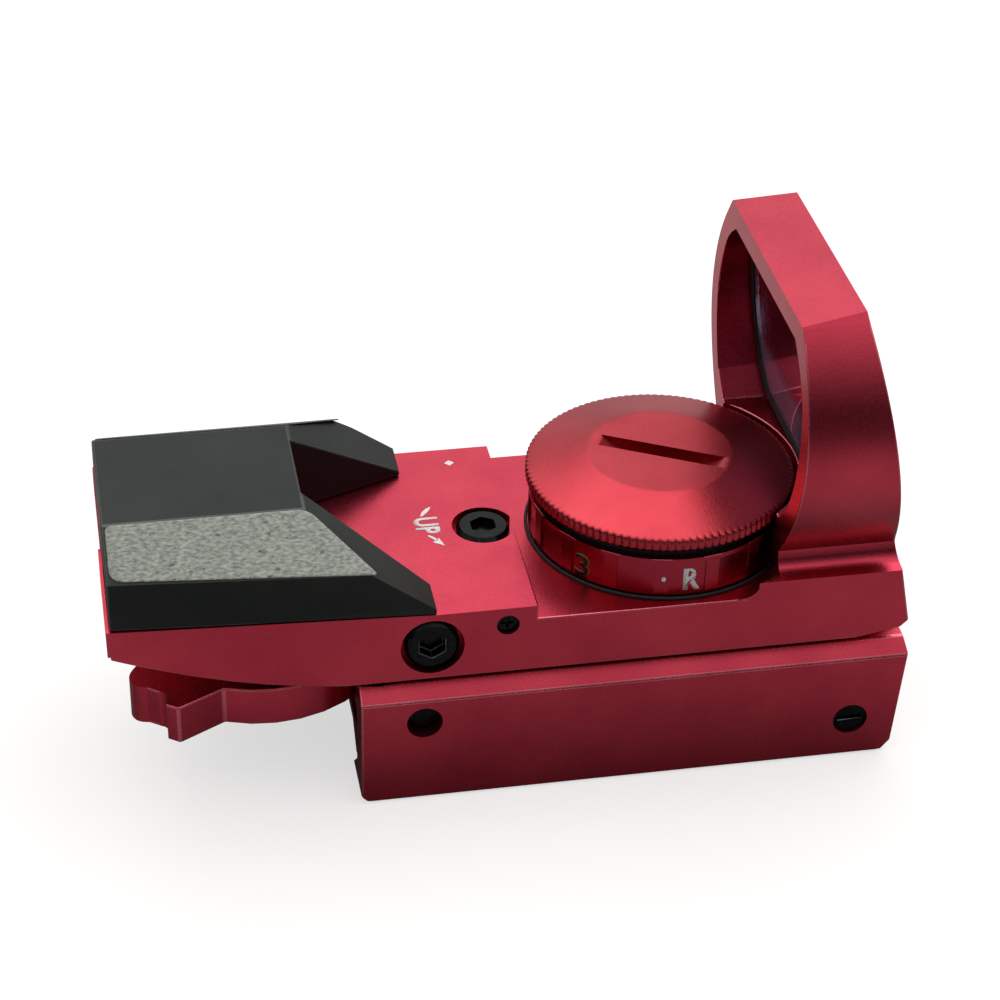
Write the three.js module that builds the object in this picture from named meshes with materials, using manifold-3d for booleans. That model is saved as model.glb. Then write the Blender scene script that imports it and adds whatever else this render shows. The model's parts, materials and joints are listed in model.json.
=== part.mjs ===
// Open reflex red dot finder: a red anodised housing with its lens hood in one piece, a black
// emitter cover, a battery dial with a numbered switch ring, and a quick-release clamp for a
// 21 mm accessory rail. Millimetres, +Z up, +X from the eye towards the objective, +Y left.
//
// Construction frame: X is 0 just behind the housing, Z is 0 on its underside, Y is 0 on the
// plane of symmetry. The last lines move the whole part so that its origin is under its middle.
import * as THREE from 'three';
import { mergeVertices } from 'three/addons/utils/BufferGeometryUtils.js';
import Module from 'manifold-3d';

const wasm = await Module();
wasm.setup();

// ---- driving dimensions ----
const GAP = 0.25;                 // clearance between a piece and what it is seated on
const RUN = 0.1;                  // running clearance round a turning or sliding piece

const HOUSING_LENGTH = 80.9;
const HOUSING_WIDTH = 29.08;
const DECK_Z = 7.79;              // upper deck, where the elevation screw sits
const POCKET_Z = 6.24;            // lower deck round the dial
const HOOD_BASE_Z = 8.04;         // raised step that the hood grows from
const TAIL_BREAK_X = 23.2;        // where the underside starts to rise towards the rear
const TAIL_ARC_R = 72;
const REAR_EDGE_Z = 9.2;          // height of the rear end under the emitter cover
const REAR_PAD_X = 0.42;          // rear pad's face, the part's rearmost point
const REAR_FACE_X = 0.7;
const REAR_PAD_END_Y = -2.9;
const REAR_PAD_TOP_Z = 11.3;
const NOSE_RISE = 0.87;
const NOSE_RUN = 5.5;
const NOSE_RAKE = 1.3;

const HOOD_TOP_Z = 37.1;
const HOOD_TOP_FALL = 0.8;        // how much lower the hood's top is at its rear edge
const HOOD_REAR_INSET = 13.8;     // hood's rear face, back from the housing's front end
const HOOD_FOOT_INSET = 1.3;      // hood's front face at its foot
const HOOD_TOP_INSET = 7.3;       // hood's front face at its top
const HOOD_HALF = 18.2;           // half width at the widest height
const HOOD_WIDEST_Z = 24;
const HOOD_TOP_HALF = 12.2;
const HOOD_NECK_HALF = 12.4;
const HOOD_NECK_Z = 10.2;
const HOOD_WALL = 2.4;
const WINDOW_SILL_Z = 13.5;
const WINDOW_CORNER = 2.4;
const GLASS_TILT = 6.4;           // degrees, top towards the eye
const GLASS_THICK = 2;
const GLASS_FOOT_INSET = 9.05;    // rear face of the glass at the sill, back from the front end
const SEAL_WIDTH = 0.9;

const CAP_R = 13.72;
const CAP_EDGE_Z = 13.42;
const CAP_TOP_Z = 15.08;
const CAP_FLAT_R = 7.5;
const CAP_BAND = 1.2;            // height of the knurled band, plain here
const CAP_TO_GLASS = 0.48;
const COIN_SLOT_LENGTH = 13.1;
const COIN_SLOT_WIDTH = 1.5;
const COIN_SLOT_DEPTH = 1.6;
const COIN_SLOT_TURN = -27.6;
const RING_R = 13.3;
const RING_TOP_Z = 10.9;
const RING_PADS = 16;
const RING_PAD_DEPTH = 0.35;
const RING_PAD_WIDTH = 3.8;
const CELL_R = 10;                // a 2032 coin cell
const CELL_THICK = 3.2;

const COVER_LENGTH = 32.3;
const COVER_ROOF_Z = 16.9;
const COVER_ROOF_HALF = 7.6;
const COVER_ROOF_END = 20.4;
const COVER_REAR_X = 0.8;
const SHOULDER_REAR = [12.9, 13.55];    // half width and height of the cover's shoulder edge
const SHOULDER_FRONT = [14.4, 12.7];
const COVER_TIP_Z = 8.45;
const COVER_WALL = 1.5;
const SLOT_REAR_HALF = 4.7;       // light slot between the cover's two arms
const SLOT_FRONT_HALF = 10.1;

const ELEVATION_TO_STEP = 3.0;
const WINDAGE_TO_ELEVATION = 7.5;
const WINDAGE_Z = 3.92;
const ADJUSTER_RECESS_R = 3.19;
const LOCK_SCREW_Z = 5.78;
const LOCK_SCREW_R = 1.05;
const ARM_HALF = 5.6;
const CARRIAGE_HALF = 5.2;
const CAVITY_HALF = 6.6;
const CAVITY_REAR_X = 11.5;
const CAVITY_REAR_Z = 2.95;
const CAVITY_Z = 1.5;

const CLAMP_REAR_X = 24.75;
const CLAMP_OVERHANG = 0.5;       // clamp's front end past the housing's
const CLAMP_EDGE_Z = -2.82;
const CLAMP_BEVEL = 1.5;
const CLAMP_DEPTH = 15.37;
const RAIL_ROOF_Z = -9.1;         // rests on the rail's flat top
const RAIL_HALF = 10.6;           // half of the rail's 21.2 mm width
const RAIL_ANGLE_DROP = 2.8;      // height of each 45 degree face of the rail
const JAW_THICK = 3.3;
const JAW_TRAVEL = 1.2;
const CROSS_PIN_TO_FRONT = 5.5;
const CROSS_PIN_R = 1.5;
const PIN_HOLE_R = 1.83;
const GUIDE_PIN_TO_REAR = 6.45;
const GUIDE_PIN_Z = -5.5;

const PIVOT_X = 16.3;
const HUB_R = 13;
const LEVER_TOP_Z = -0.6;
const LEVER_THICK = 4.4;
const LEVER_REACH = 17.4;
const LEVER_THROW = 90;           // degrees from locked to open
const CAM_R = 4.5;

// ---- places worked out from them ----
const HALF = HOUSING_WIDTH / 2;
const HOOD_REAR_X = HOUSING_LENGTH - HOOD_REAR_INSET;
const GLASS_X = HOUSING_LENGTH - GLASS_FOOT_INSET;
const DIAL_X = GLASS_X - CAP_TO_GLASS - CAP_R;
const STEP_X = DIAL_X - CAP_R - 1.5;
const ELEVATION_X = STEP_X - ELEVATION_TO_STEP;
const WINDAGE_X = ELEVATION_X - WINDAGE_TO_ELEVATION;
const TUNNEL_END_X = ELEVATION_X + 3.2;
const CLAMP_FRONT_X = HOUSING_LENGTH + CLAMP_OVERHANG;
const GUIDE_PIN_X = CLAMP_REAR_X + GUIDE_PIN_TO_REAR;
const CROSS_PIN_X = CLAMP_FRONT_X - CROSS_PIN_TO_FRONT;
const CROSS_PIN_Z = RAIL_ROOF_Z - CROSS_PIN_R + 0.05;
const JAW_INNER_Y = -HALF + JAW_THICK;
const HUB_BOTTOM_Z = LEVER_TOP_Z - LEVER_THICK;
const CAM_OFFSET = JAW_TRAVEL / (2 * Math.sin(THREE.MathUtils.degToRad(LEVER_THROW / 2)));
const tailRise = (x) => TAIL_ARC_R - Math.sqrt(TAIL_ARC_R ** 2 - (TAIL_BREAK_X + 7 - x) ** 2);
const tailZ = (x) => Math.max(0, tailRise(x) - tailRise(TAIL_BREAK_X));
const seamZ = (x) => REAR_EDGE_Z + (DECK_Z - REAR_EDGE_Z) * Math.min(1, x / COVER_LENGTH);

// ---- materials ----
const finish = (color, roughness, metalness) =>
  new THREE.MeshStandardMaterial({ color, roughness, metalness });
const redAnodised = finish('#b3263d', 0.42, 0.9);
const blackAnodised = finish('#2b2d2c', 0.55, 0.6);
const blackSteel = finish('#121314', 0.3, 0.8);
const brightSteel = finish('#b9bcc0', 0.3, 1);
const brass = finish('#c9a24a', 0.35, 1);
const blackRubber = finish('#17181a', 0.85, 0);
const greenBoard = finish('#1f5a38', 0.6, 0.1);
const blackPlastic = finish('#1d1e20', 0.6, 0);
const amberFilm = finish('#b5651d', 0.5, 0);
const coatedGlass = new THREE.MeshStandardMaterial({
  color: '#8f7fa8', roughness: 0.05, metalness: 0, transparent: true, opacity: 0.35,
});

// ---- building blocks ----
const radians = THREE.MathUtils.degToRad;

// A closed solid from a closed geometry.
function solid(geometry) {
  const bare = geometry.clone();
  bare.deleteAttribute('normal');
  bare.deleteAttribute('uv');
  const merged = mergeVertices(bare, 1e-4);
  return new wasm.Manifold(new wasm.Mesh({
    numProp: 3,
    vertProperties: new Float32Array(merged.attributes.position.array),
    triVerts: new Uint32Array(merged.index.array),
  }));
}

function geometryOf(body) {
  const { vertProperties, triVerts } = body.getMesh();
  const geometry = new THREE.BufferGeometry();
  geometry.setAttribute('position', new THREE.BufferAttribute(vertProperties, 3));
  geometry.setIndex(new THREE.BufferAttribute(triVerts, 1));
  geometry.computeVertexNormals();
  return geometry;
}

const box = (x0, x1, y0, y1, z0, z1) => solid(
  new THREE.BoxGeometry(x1 - x0, y1 - y0, z1 - z0)
    .translate((x0 + x1) / 2, (y0 + y1) / 2, (z0 + z1) / 2));

const outline = (points) => new THREE.Shape(points.map(([u, v]) => new THREE.Vector2(u, v)));

const extruded = (shape, depth, curveSegments) =>
  new THREE.ExtrudeGeometry(shape, { depth, curveSegments, bevelEnabled: false });

// Outline in X and Y, filled from z0 up to z1.
const prismZ = (shape, z0, z1, curveSegments = 12) =>
  solid(extruded(shape, z1 - z0, curveSegments).translate(0, 0, z0));

// Outline in X and Z, filled from y0 to y1.
const prismY = (shape, y0, y1, curveSegments = 12) =>
  solid(extruded(shape, y1 - y0, curveSegments).rotateX(Math.PI / 2).translate(0, y1, 0));

// Outline in Y and Z, filled from x0 to x1.
const turnToX = new THREE.Matrix4().set(0, 0, 1, 0, 1, 0, 0, 0, 0, 1, 0, 0, 0, 0, 0, 1);
const prismX = (shape, x0, x1, curveSegments = 12) =>
  solid(extruded(shape, x1 - x0, curveSegments).applyMatrix4(turnToX).translate(x0, 0, 0));

// A profile of [radius, height] points, counter-clockwise, turned about Z.
const turned = (profile, segments = 32) => new THREE.LatheGeometry(
  profile.map(([r, z]) => new THREE.Vector2(r, z)), segments).rotateX(Math.PI / 2);

const rodGeometry = (r, length, segments = 20) =>
  new THREE.CylinderGeometry(r, r, length, segments).rotateX(Math.PI / 2);
const rodZ = (r, x, y, z0, z1, segments) =>
  solid(rodGeometry(r, z1 - z0, segments).translate(x, y, (z0 + z1) / 2));
const rodY = (r, x, z, y0, y1, segments) => solid(rodGeometry(r, y1 - y0, segments)
  .rotateX(Math.PI / 2).translate(x, (y0 + y1) / 2, z));

const tube = (outer, inner, z0, z1, segments) => turned(
  [[inner, z0], [outer, z0], [outer, z1], [inner, z1], [inner, z0]], segments);

const pieces = new THREE.Group();

function piece(name, shape, material, parent = pieces) {
  const geometry = shape.isBufferGeometry ? shape : geometryOf(shape);
  const mesh = new THREE.Mesh(geometry, material);
  mesh.name = name;
  parent.add(mesh);
  return mesh;
}

// A socket screw standing on its tip at z 0: shank, then head, with a hexagonal socket.
function socketScrew(shankR, shankLength, headR, headHeight, socketR) {
  const top = shankLength + headHeight;
  const blank = solid(turned([
    [0, 0], [shankR - 0.25, 0], [shankR, 0.25], [shankR, shankLength], [headR, shankLength],
    [headR, top - 0.35], [headR - 0.35, top], [0, top]], 24));
  return geometryOf(blank.subtract(rodZ(socketR, 0, 0, top - headHeight * 0.75, top + 1, 6)));
}

// A flat-headed screw pointing up, its head's face on z 0, with a cross recess.
function flatScrew(shankR, length, headR) {
  const blank = solid(turned([
    [0, 0], [headR, 0], [headR, 0.3], [shankR, 0.3 + headR - shankR],
    [shankR, length - 0.3], [shankR - 0.3, length], [0, length]], 16));
  const arm = headR * 0.6;
  const blade = headR * 0.14;
  return geometryOf(blank
    .subtract(box(-arm, arm, -blade, blade, -1, headR * 0.35))
    .subtract(box(-blade, blade, -arm, arm, -1, headR * 0.35)));
}

// The space that such a screw needs: a clear hole and a conical seat below zFace.
function flatScrewSeat(x, y, zFace, shankR, headR, zTop) {
  return solid(turned([
    [0, zFace - 6], [headR + GAP, zFace - 6], [headR + GAP, zFace + 0.3],
    [shankR + RUN, zFace + 0.3 + headR - shankR], [shankR + RUN, zTop], [0, zTop]], 16)
    .translate(x, y, 0));
}

// ---- hood outline, in Y and Z ----
// Bulged sides from the neck to the flat top; inset draws the same outline further in.
function hoodOutline(inset, bottomZ, cornerCut) {
  const shape = new THREE.Shape();
  const widest = HOOD_HALF - inset;
  const top = HOOD_TOP_Z - (inset > 0 ? HOOD_TOP_FALL + inset : 0);
  const topHalf = HOOD_TOP_HALF - inset * 0.45;
  const bend = 7;
  const neckZ = Math.max(HOOD_NECK_Z, bottomZ + cornerCut);
  const neck = HOOD_NECK_HALF - inset + (HOOD_HALF - HOOD_NECK_HALF)
    * Math.sin(Math.PI / 2 * (neckZ - HOOD_NECK_Z) / (HOOD_WIDEST_Z - HOOD_NECK_Z));
  const lowBend = (HOOD_WIDEST_Z - neckZ) * 0.47;
  shape.moveTo(-(neck - cornerCut), bottomZ);
  shape.lineTo(neck - cornerCut, bottomZ);
  shape.lineTo(neck, neckZ);
  shape.quadraticCurveTo(widest, HOOD_WIDEST_Z - lowBend, widest, HOOD_WIDEST_Z);
  shape.quadraticCurveTo(widest, HOOD_WIDEST_Z + bend, topHalf, top);
  shape.lineTo(-topHalf, top);
  shape.quadraticCurveTo(-widest, HOOD_WIDEST_Z + bend, -widest, HOOD_WIDEST_Z);
  shape.quadraticCurveTo(-widest, HOOD_WIDEST_Z - lowBend, -neck, neckZ);
  shape.closePath();
  return shape;
}

// ---- housing ----
function housing() {
  const nose = HOUSING_LENGTH - NOSE_RAKE;
  const side = new THREE.Shape();
  side.moveTo(TAIL_BREAK_X, 0);
  side.lineTo(HOUSING_LENGTH - NOSE_RUN, 0);
  side.lineTo(HOUSING_LENGTH - 0.8, NOSE_RISE);
  side.lineTo(HOUSING_LENGTH, NOSE_RISE + 0.8);
  side.lineTo(nose, HOOD_BASE_Z);
  side.lineTo(STEP_X + 0.6, HOOD_BASE_Z);
  side.lineTo(STEP_X, DECK_Z);
  side.lineTo(COVER_LENGTH, DECK_Z);
  side.lineTo(REAR_FACE_X, seamZ(REAR_FACE_X));
  side.lineTo(REAR_FACE_X, tailZ(REAR_FACE_X) + 0.1);
  const tailSteps = 6;
  for (let i = 0; i < tailSteps; i += 1) {
    const x = REAR_FACE_X + 0.1 + (TAIL_BREAK_X - REAR_FACE_X - 0.1) * i / tailSteps;
    side.lineTo(x, tailZ(x));
  }
  let body = prismY(side, -HALF, HALF);

  // rear pad: low block on the near half of the rear face, standing up behind the cover
  const pad = new THREE.Shape();
  pad.moveTo(-HALF, tailZ(REAR_PAD_X) + 0.2);
  pad.lineTo(REAR_PAD_END_Y, tailZ(REAR_PAD_X) + 0.2);
  pad.lineTo(REAR_PAD_END_Y, REAR_PAD_TOP_Z - 0.9);
  pad.quadraticCurveTo(REAR_PAD_END_Y, REAR_PAD_TOP_Z, REAR_PAD_END_Y - 0.9, REAR_PAD_TOP_Z);
  pad.lineTo(-HALF, REAR_EDGE_Z);
  pad.closePath();
  body = body.add(prismX(pad, REAR_PAD_X, REAR_FACE_X, 4));

  // hood: bulged block with a raked front, flaring into the housing through a concave neck
  const hood = prismX(hoodOutline(0, HOOD_NECK_Z - 0.01, 0), HOOD_REAR_X, HOUSING_LENGTH, 12);
  const neck = new THREE.Shape();
  neck.moveTo(-HALF, HOOD_BASE_Z - 1);
  neck.lineTo(HALF, HOOD_BASE_Z - 1);
  neck.lineTo(HALF, HOOD_BASE_Z);
  neck.quadraticCurveTo(HOOD_NECK_HALF, HOOD_BASE_Z, HOOD_NECK_HALF, HOOD_NECK_Z);
  neck.lineTo(-HOOD_NECK_HALF, HOOD_NECK_Z);
  neck.quadraticCurveTo(-HOOD_NECK_HALF, HOOD_BASE_Z, -HALF, HOOD_BASE_Z);
  neck.closePath();
  const rake = outline([
    [HOOD_REAR_X - 1, HOOD_BASE_Z - 2], [HOUSING_LENGTH - HOOD_FOOT_INSET, HOOD_BASE_Z - 2],
    [HOUSING_LENGTH - HOOD_FOOT_INSET, HOOD_BASE_Z],
    [HOUSING_LENGTH - HOOD_TOP_INSET, HOOD_TOP_Z], [HOOD_REAR_X, HOOD_TOP_Z - HOOD_TOP_FALL],
    [HOOD_REAR_X - 1, HOOD_TOP_Z - HOOD_TOP_FALL]]);
  const envelope = prismY(rake, -HOOD_HALF - 1, HOOD_HALF + 1);
  const hoodSolid = hood.add(prismX(neck, HOOD_REAR_X, HOUSING_LENGTH, 5)).intersect(envelope);

  // dial pocket: lower deck with a round wall at its front; above it the hood is cut clear
  const pocketR = CAP_R + 2.48;
  const pocket = new THREE.Shape();
  pocket.moveTo(STEP_X, -HALF - 5);
  pocket.lineTo(STEP_X + 0.6, -HALF - 5);
  pocket.lineTo(DIAL_X, -HALF - 5);
  pocket.lineTo(DIAL_X, -pocketR);
  pocket.absarc(DIAL_X, 0, pocketR, -Math.PI / 2, Math.PI / 2, false);
  pocket.lineTo(DIAL_X, HALF + 5);
  pocket.lineTo(STEP_X, HALF + 5);
  pocket.closePath();
  body = body.add(hoodSolid)
    .subtract(prismZ(pocket, POCKET_Z, HOOD_BASE_Z + 0.01, 20))
    .subtract(rodZ(CAP_R + CAP_TO_GLASS, DIAL_X, 0, HOOD_BASE_Z - 0.01, WINDOW_SILL_Z + 8, 64))
    .subtract(prismX(hoodOutline(HOOD_WALL, WINDOW_SILL_Z, WINDOW_CORNER),
      HOOD_REAR_X - 20, HOUSING_LENGTH + 1, 12));

  // battery bore, and the emitter's cavity with its tunnel under the deck
  const dialBore = rodZ(RING_R - 0.3, DIAL_X, 0, CAVITY_Z, POCKET_Z + 1, 40);
  const cavity = box(CAVITY_REAR_X, COVER_ROOF_END - 1, -CAVITY_HALF, CAVITY_HALF,
    CAVITY_REAR_Z, REAR_EDGE_Z + 1);
  const tunnel = box(CLAMP_REAR_X - 1, TUNNEL_END_X, -CAVITY_HALF, CAVITY_HALF, CAVITY_Z, 5.9)
    .add(box(CAVITY_REAR_X, CLAMP_REAR_X, -CAVITY_HALF, CAVITY_HALF, CAVITY_REAR_Z, 5.9));
  const leadChannel = box(TUNNEL_END_X - 1, DIAL_X - RING_R + 2, 3.4, 6.4, CAVITY_Z, 2.9);
  body = body.subtract(dialBore).subtract(cavity).subtract(tunnel).subtract(leadChannel);

  // adjuster screws: threaded holes with round recesses, and the lock screw's hole
  const recess = ADJUSTER_RECESS_R;
  body = body
    .subtract(rodZ(2 + RUN, ELEVATION_X, 0, 5, DECK_Z + 1))
    .subtract(rodZ(recess, ELEVATION_X, 0, DECK_Z - 1.3, DECK_Z + 1, 32))
    .subtract(rodY(2 + RUN, WINDAGE_X, WINDAGE_Z, -HALF - 1, -CAVITY_HALF + 1))
    .subtract(rodY(recess, WINDAGE_X, WINDAGE_Z, -HALF - 1, -HALF + 2.2, 32))
    .subtract(rodY(LOCK_SCREW_R + RUN, ELEVATION_X, LOCK_SCREW_Z, -HALF - 1, -2.1, 16));

  // lever boss, and the holes of the screws that come up from below
  body = body
    .add(rodZ(5, PIVOT_X, 0, LEVER_TOP_Z + 0.3, CAVITY_REAR_Z - 0.5, 24))
    .subtract(rodZ(1.9 + RUN, PIVOT_X, 0, LEVER_TOP_Z - 1, CAVITY_REAR_Z - 0.45));
  for (const [x, y] of clampScrewPlaces) {
    body = body.subtract(rodZ(1.25 + RUN, x, y, -1, 5.2, 16));
  }
  for (const [x, y, z] of coverScrewPlaces) {
    body = body.subtract(flatScrewSeat(x, y, z, 1, 1.9, REAR_EDGE_Z + 2));
  }
  return body;
}

const clampScrewPlaces = [
  [CLAMP_REAR_X + 11.25, -8.4], [CLAMP_REAR_X + 11.25, 8.4],
  [HOUSING_LENGTH - 8.3, -5.5], [HOUSING_LENGTH - 8.3, 5.5]];

const coverScrewRows = [[5, HALF - 4.6], [CLAMP_REAR_X + 1.6, HALF - 3.1]];
const coverScrewPlaces = coverScrewRows.flatMap(([x, y]) =>
  [-y, y].map((side) => [x, side, tailZ(x + 1.9) + 0.5]));

// ---- emitter cover: faceted black shell, two arms either side of the light slot ----
const coverSide = (inset) => {
  const rearX = COVER_REAR_X + inset;
  return outline([
    [rearX, 0], [COVER_LENGTH, 0], [COVER_LENGTH, COVER_TIP_Z - inset],
    [COVER_ROOF_END, COVER_ROOF_Z - inset], [rearX, COVER_ROOF_Z - inset]]);
};

// Eight-sided section with sloping shoulders and leaning sides, lofted from rear to front.
function coverSolid(inset) {
  const half = HALF - inset;
  const roof = COVER_ROOF_HALF - inset * 0.5;
  const top = COVER_ROOF_Z - inset;
  const section = ([shoulder, shoulderZ]) => [
    [-half, 0], [half, 0], [half, DECK_Z + 1], [shoulder - inset, shoulderZ - inset],
    [roof, top], [-roof, top], [-shoulder + inset, shoulderZ - inset], [-half, DECK_Z + 1]];
  const ends = [
    [COVER_REAR_X + inset, section(SHOULDER_REAR)], [COVER_LENGTH, section(SHOULDER_FRONT)]];
  const positions = ends.flatMap(([x, ring]) => ring.flatMap(([y, z]) => [x, y, z]));
  const count = ends[0][1].length;
  const index = [];
  for (let i = 1; i < count - 1; i += 1) {
    index.push(0, i + 1, i, count, count + i, count + i + 1);
  }
  for (let i = 0; i < count; i += 1) {
    const next = (i + 1) % count;
    index.push(i, next, count + next, i, count + next, count + i);
  }
  const loft = new THREE.BufferGeometry();
  loft.setAttribute('position', new THREE.Float32BufferAttribute(positions, 3));
  loft.setIndex(index);
  return solid(loft).intersect(prismY(coverSide(inset), -half, half));
}

function emitterCover() {
  const aboveSeam = prismY(outline([
    [-1, seamZ(0) + RUN], [COVER_LENGTH + 1, DECK_Z + RUN],
    [COVER_LENGTH + 1, 30], [-1, 30]]), -HALF - 1, HALF + 1);
  const hollowEnd = COVER_ROOF_END - COVER_WALL;
  const hollow = coverSolid(COVER_WALL).intersect(
    box(0, hollowEnd, -HALF, HALF, 0, COVER_ROOF_Z));
  const slotGrowth = (SLOT_FRONT_HALF - SLOT_REAR_HALF) / (COVER_LENGTH - COVER_ROOF_END);
  const slotFront = SLOT_FRONT_HALF + slotGrowth * 2;
  const slot = prismZ(outline([
    [COVER_ROOF_END, -SLOT_REAR_HALF], [COVER_LENGTH + 2, -slotFront],
    [COVER_LENGTH + 2, slotFront], [COVER_ROOF_END, SLOT_REAR_HALF]]), 0, 20);
  const beamPort = box(hollowEnd - 1, COVER_ROOF_END + 1,
    -SLOT_REAR_HALF + 0.4, SLOT_REAR_HALF - 0.4, 0, COVER_ROOF_Z - COVER_WALL);
  let cover = coverSolid(0).intersect(aboveSeam)
    .subtract(hollow).subtract(slot).subtract(beamPort);
  for (const [x, y] of coverScrewPlaces) {
    if (x < hollowEnd) {
      const boss = rodZ(2.3, x, y, seamZ(x) + 0.3, 14, 16).intersect(coverSolid(0.3));
      cover = cover.add(boss.intersect(aboveSeam));
    }
    cover = cover.subtract(rodZ(1 + RUN, x, y, 0, 11.4, 16));
  }
  return cover;
}

// ---- window glass in its black seal, tilted together ----
// The outlines' sill lies on the tilt axis, so both stand on the sill at any tilt.
function addWindow() {
  const frame = new THREE.Group();
  frame.position.set(GLASS_X, 0, WINDOW_SILL_Z);
  frame.rotation.y = -radians(GLASS_TILT);
  pieces.add(frame);
  const fit = 0.25;
  const pane = (inset, x0, x1) =>
    prismX(hoodOutline(HOOD_WALL + inset, WINDOW_SILL_Z + inset, WINDOW_CORNER), x0, x1, 12);
  const lower = (body) => geometryOf(body).translate(0, 0, -WINDOW_SILL_Z);
  const seal = pane(fit, 0, GLASS_THICK + 0.4)
    .subtract(pane(fit + SEAL_WIDTH, -1, GLASS_THICK + 2));
  piece('window_seal', lower(seal), blackRubber, frame);
  piece('window_glass', lower(pane(fit + SEAL_WIDTH + RUN, 0.2, 0.2 + GLASS_THICK)),
    coatedGlass, frame);
}

// ---- adjusters, emitter carriage and its springs ----
function addEmitter() {
  const elevation = piece('elevation_screw', socketScrew(2, 3.55, 2.75, 1.0, 1.45), blackSteel);
  elevation.position.set(ELEVATION_X, 0, 3.3);
  const windage = piece('windage_screw', socketScrew(2, 4.6, 2.75, 1.6, 1.45), blackSteel);
  windage.rotation.x = Math.PI / 2;
  windage.position.set(WINDAGE_X, -HALF + 6.35, WINDAGE_Z);
  const lock = piece('elevation_lock_screw',
    flatScrew(LOCK_SCREW_R - 0.3, HALF - 2.9, LOCK_SCREW_R), blackSteel);
  lock.rotation.x = -Math.PI / 2;
  lock.position.set(ELEVATION_X, -HALF + 0.4, LOCK_SCREW_Z);

  const armRear = CLAMP_REAR_X + 0.2;
  const arm = box(armRear, TUNNEL_END_X - 0.4, -ARM_HALF, ARM_HALF, 2.15, 3.0)
    .subtract(box(armRear + 3, ELEVATION_X - 5, -2.4, 2.4, 0, 6));
  piece('elevation_arm', arm, brass);
  const carriagePlate = box(13.2, ELEVATION_X - 3.2, -CARRIAGE_HALF, CARRIAGE_HALF, 3.3, 4.6);
  const post = box(13.2, 15.8, -4, 4, 4, 13)
    .subtract(rodZ(0.8, 14.5, 0, 10, 14, 12));
  piece('emitter_carriage', carriagePlate.add(post), blackPlastic);
  piece('led_board', box(16.05, 16.95, -3.8, 3.8, 5.2, 12.6), greenBoard);
  const barrel = geometryOf(solid(turned([
    [0, 0], [2.2, 0], [2.2, 1.7], [1.5, 2.0], [0, 2.0]], 20))).rotateY(Math.PI / 2);
  piece('led_emitter', barrel, blackPlastic).position.set(17.2, 0, 10.3);
  piece('windage_shoe', box(WINDAGE_X - 1.8, WINDAGE_X + 1.8,
    -CARRIAGE_HALF - 2.6, -CARRIAGE_HALF - 0.15, WINDAGE_Z - 0.45, WINDAGE_Z + 0.8)
    .subtract(rodY(0.7, WINDAGE_X, WINDAGE_Z, -CARRIAGE_HALF - 3, -CARRIAGE_HALF - 2.2, 12)),
  brass);

  const leaf = (length, bow, thick) => {
    const shape = new THREE.Shape();
    shape.moveTo(-length / 2, 0);
    shape.quadraticCurveTo(0, bow * 2, length / 2, 0);
    shape.lineTo(length / 2, thick);
    shape.quadraticCurveTo(0, bow * 2 + thick, -length / 2, thick);
    shape.closePath();
    return shape;
  };
  piece('lift_spring', prismY(leaf(11, 0.12, 0.18), -2, 2, 6), brightSteel)
    .position.set(ELEVATION_X - 5.2, 0, CAVITY_Z + 0.02);
  const sideSpring = piece('side_spring', prismZ(leaf(13, -0.3, 0.2), 3.4, 4.5, 6), brightSteel);
  sideSpring.position.set((CLAMP_REAR_X + ELEVATION_X) / 2 - 3, CAVITY_HALF - 0.25, 0);
}

// ---- battery dial ----
const CUP_FLOOR_Z = 3.1;
const CELL_Z = 5.9;

function batteryCap() {
  const bandZ = CAP_EDGE_Z - CAP_BAND;
  const spigotR = CELL_R + 0.05;
  const undersideZ = RING_TOP_Z + 1.1;
  const cellTop = CELL_Z + CELL_THICK + GAP;
  const blank = solid(turned([
    [0, cellTop], [3, cellTop], [3, undersideZ - 0.4], [spigotR - 1.6, undersideZ - 0.4],
    [spigotR - 1.6, cellTop], [spigotR, cellTop], [spigotR, undersideZ],
    [CAP_R - 1.1, undersideZ], [CAP_R - 1.1, bandZ], [CAP_R, bandZ],
    [CAP_R, CAP_EDGE_Z], [CAP_FLAT_R, CAP_TOP_Z], [0, CAP_TOP_Z]], 48));
  const cutR = (COIN_SLOT_LENGTH ** 2 / 4 + COIN_SLOT_DEPTH ** 2) / (2 * COIN_SLOT_DEPTH);
  const cutter = solid(rodGeometry(cutR, COIN_SLOT_WIDTH, 60).rotateX(Math.PI / 2)
    .translate(0, 0, CAP_TOP_Z - COIN_SLOT_DEPTH + cutR)
    .rotateZ(radians(COIN_SLOT_TURN)));
  return blank.subtract(cutter);
}

function numberedRing() {
  const sleeveInner = RING_R - 1.8;
  const sleeveOuter = RING_R - 0.5;
  let ring = solid(turned([
    [sleeveInner, 4.2], [sleeveOuter, 4.2], [sleeveOuter, POCKET_Z + 0.3],
    [RING_R, POCKET_Z + 0.3], [RING_R, RING_TOP_Z], [RING_R - 0.7, RING_TOP_Z],
    [RING_R - 0.7, RING_TOP_Z - 0.7],
    [sleeveInner, RING_TOP_Z - 0.7], [sleeveInner, 4.2]], RING_PADS * 3));
  for (let i = 0; i < RING_PADS; i += 1) {
    const angle = 2 * Math.PI * i / RING_PADS;
    const pad = new THREE.BoxGeometry(RING_PAD_WIDTH, 2, RING_TOP_Z - POCKET_Z - 1)
      .translate(0, -(RING_R - RING_PAD_DEPTH + 1), (POCKET_Z + RING_TOP_Z) / 2)
      .rotateZ(angle);
    const notch = rodGeometry(0.55, 1.6, 8).translate(0, -sleeveInner, 8.7).rotateZ(angle);
    ring = ring.subtract(solid(pad)).subtract(solid(notch));
  }
  return ring;
}

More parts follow.
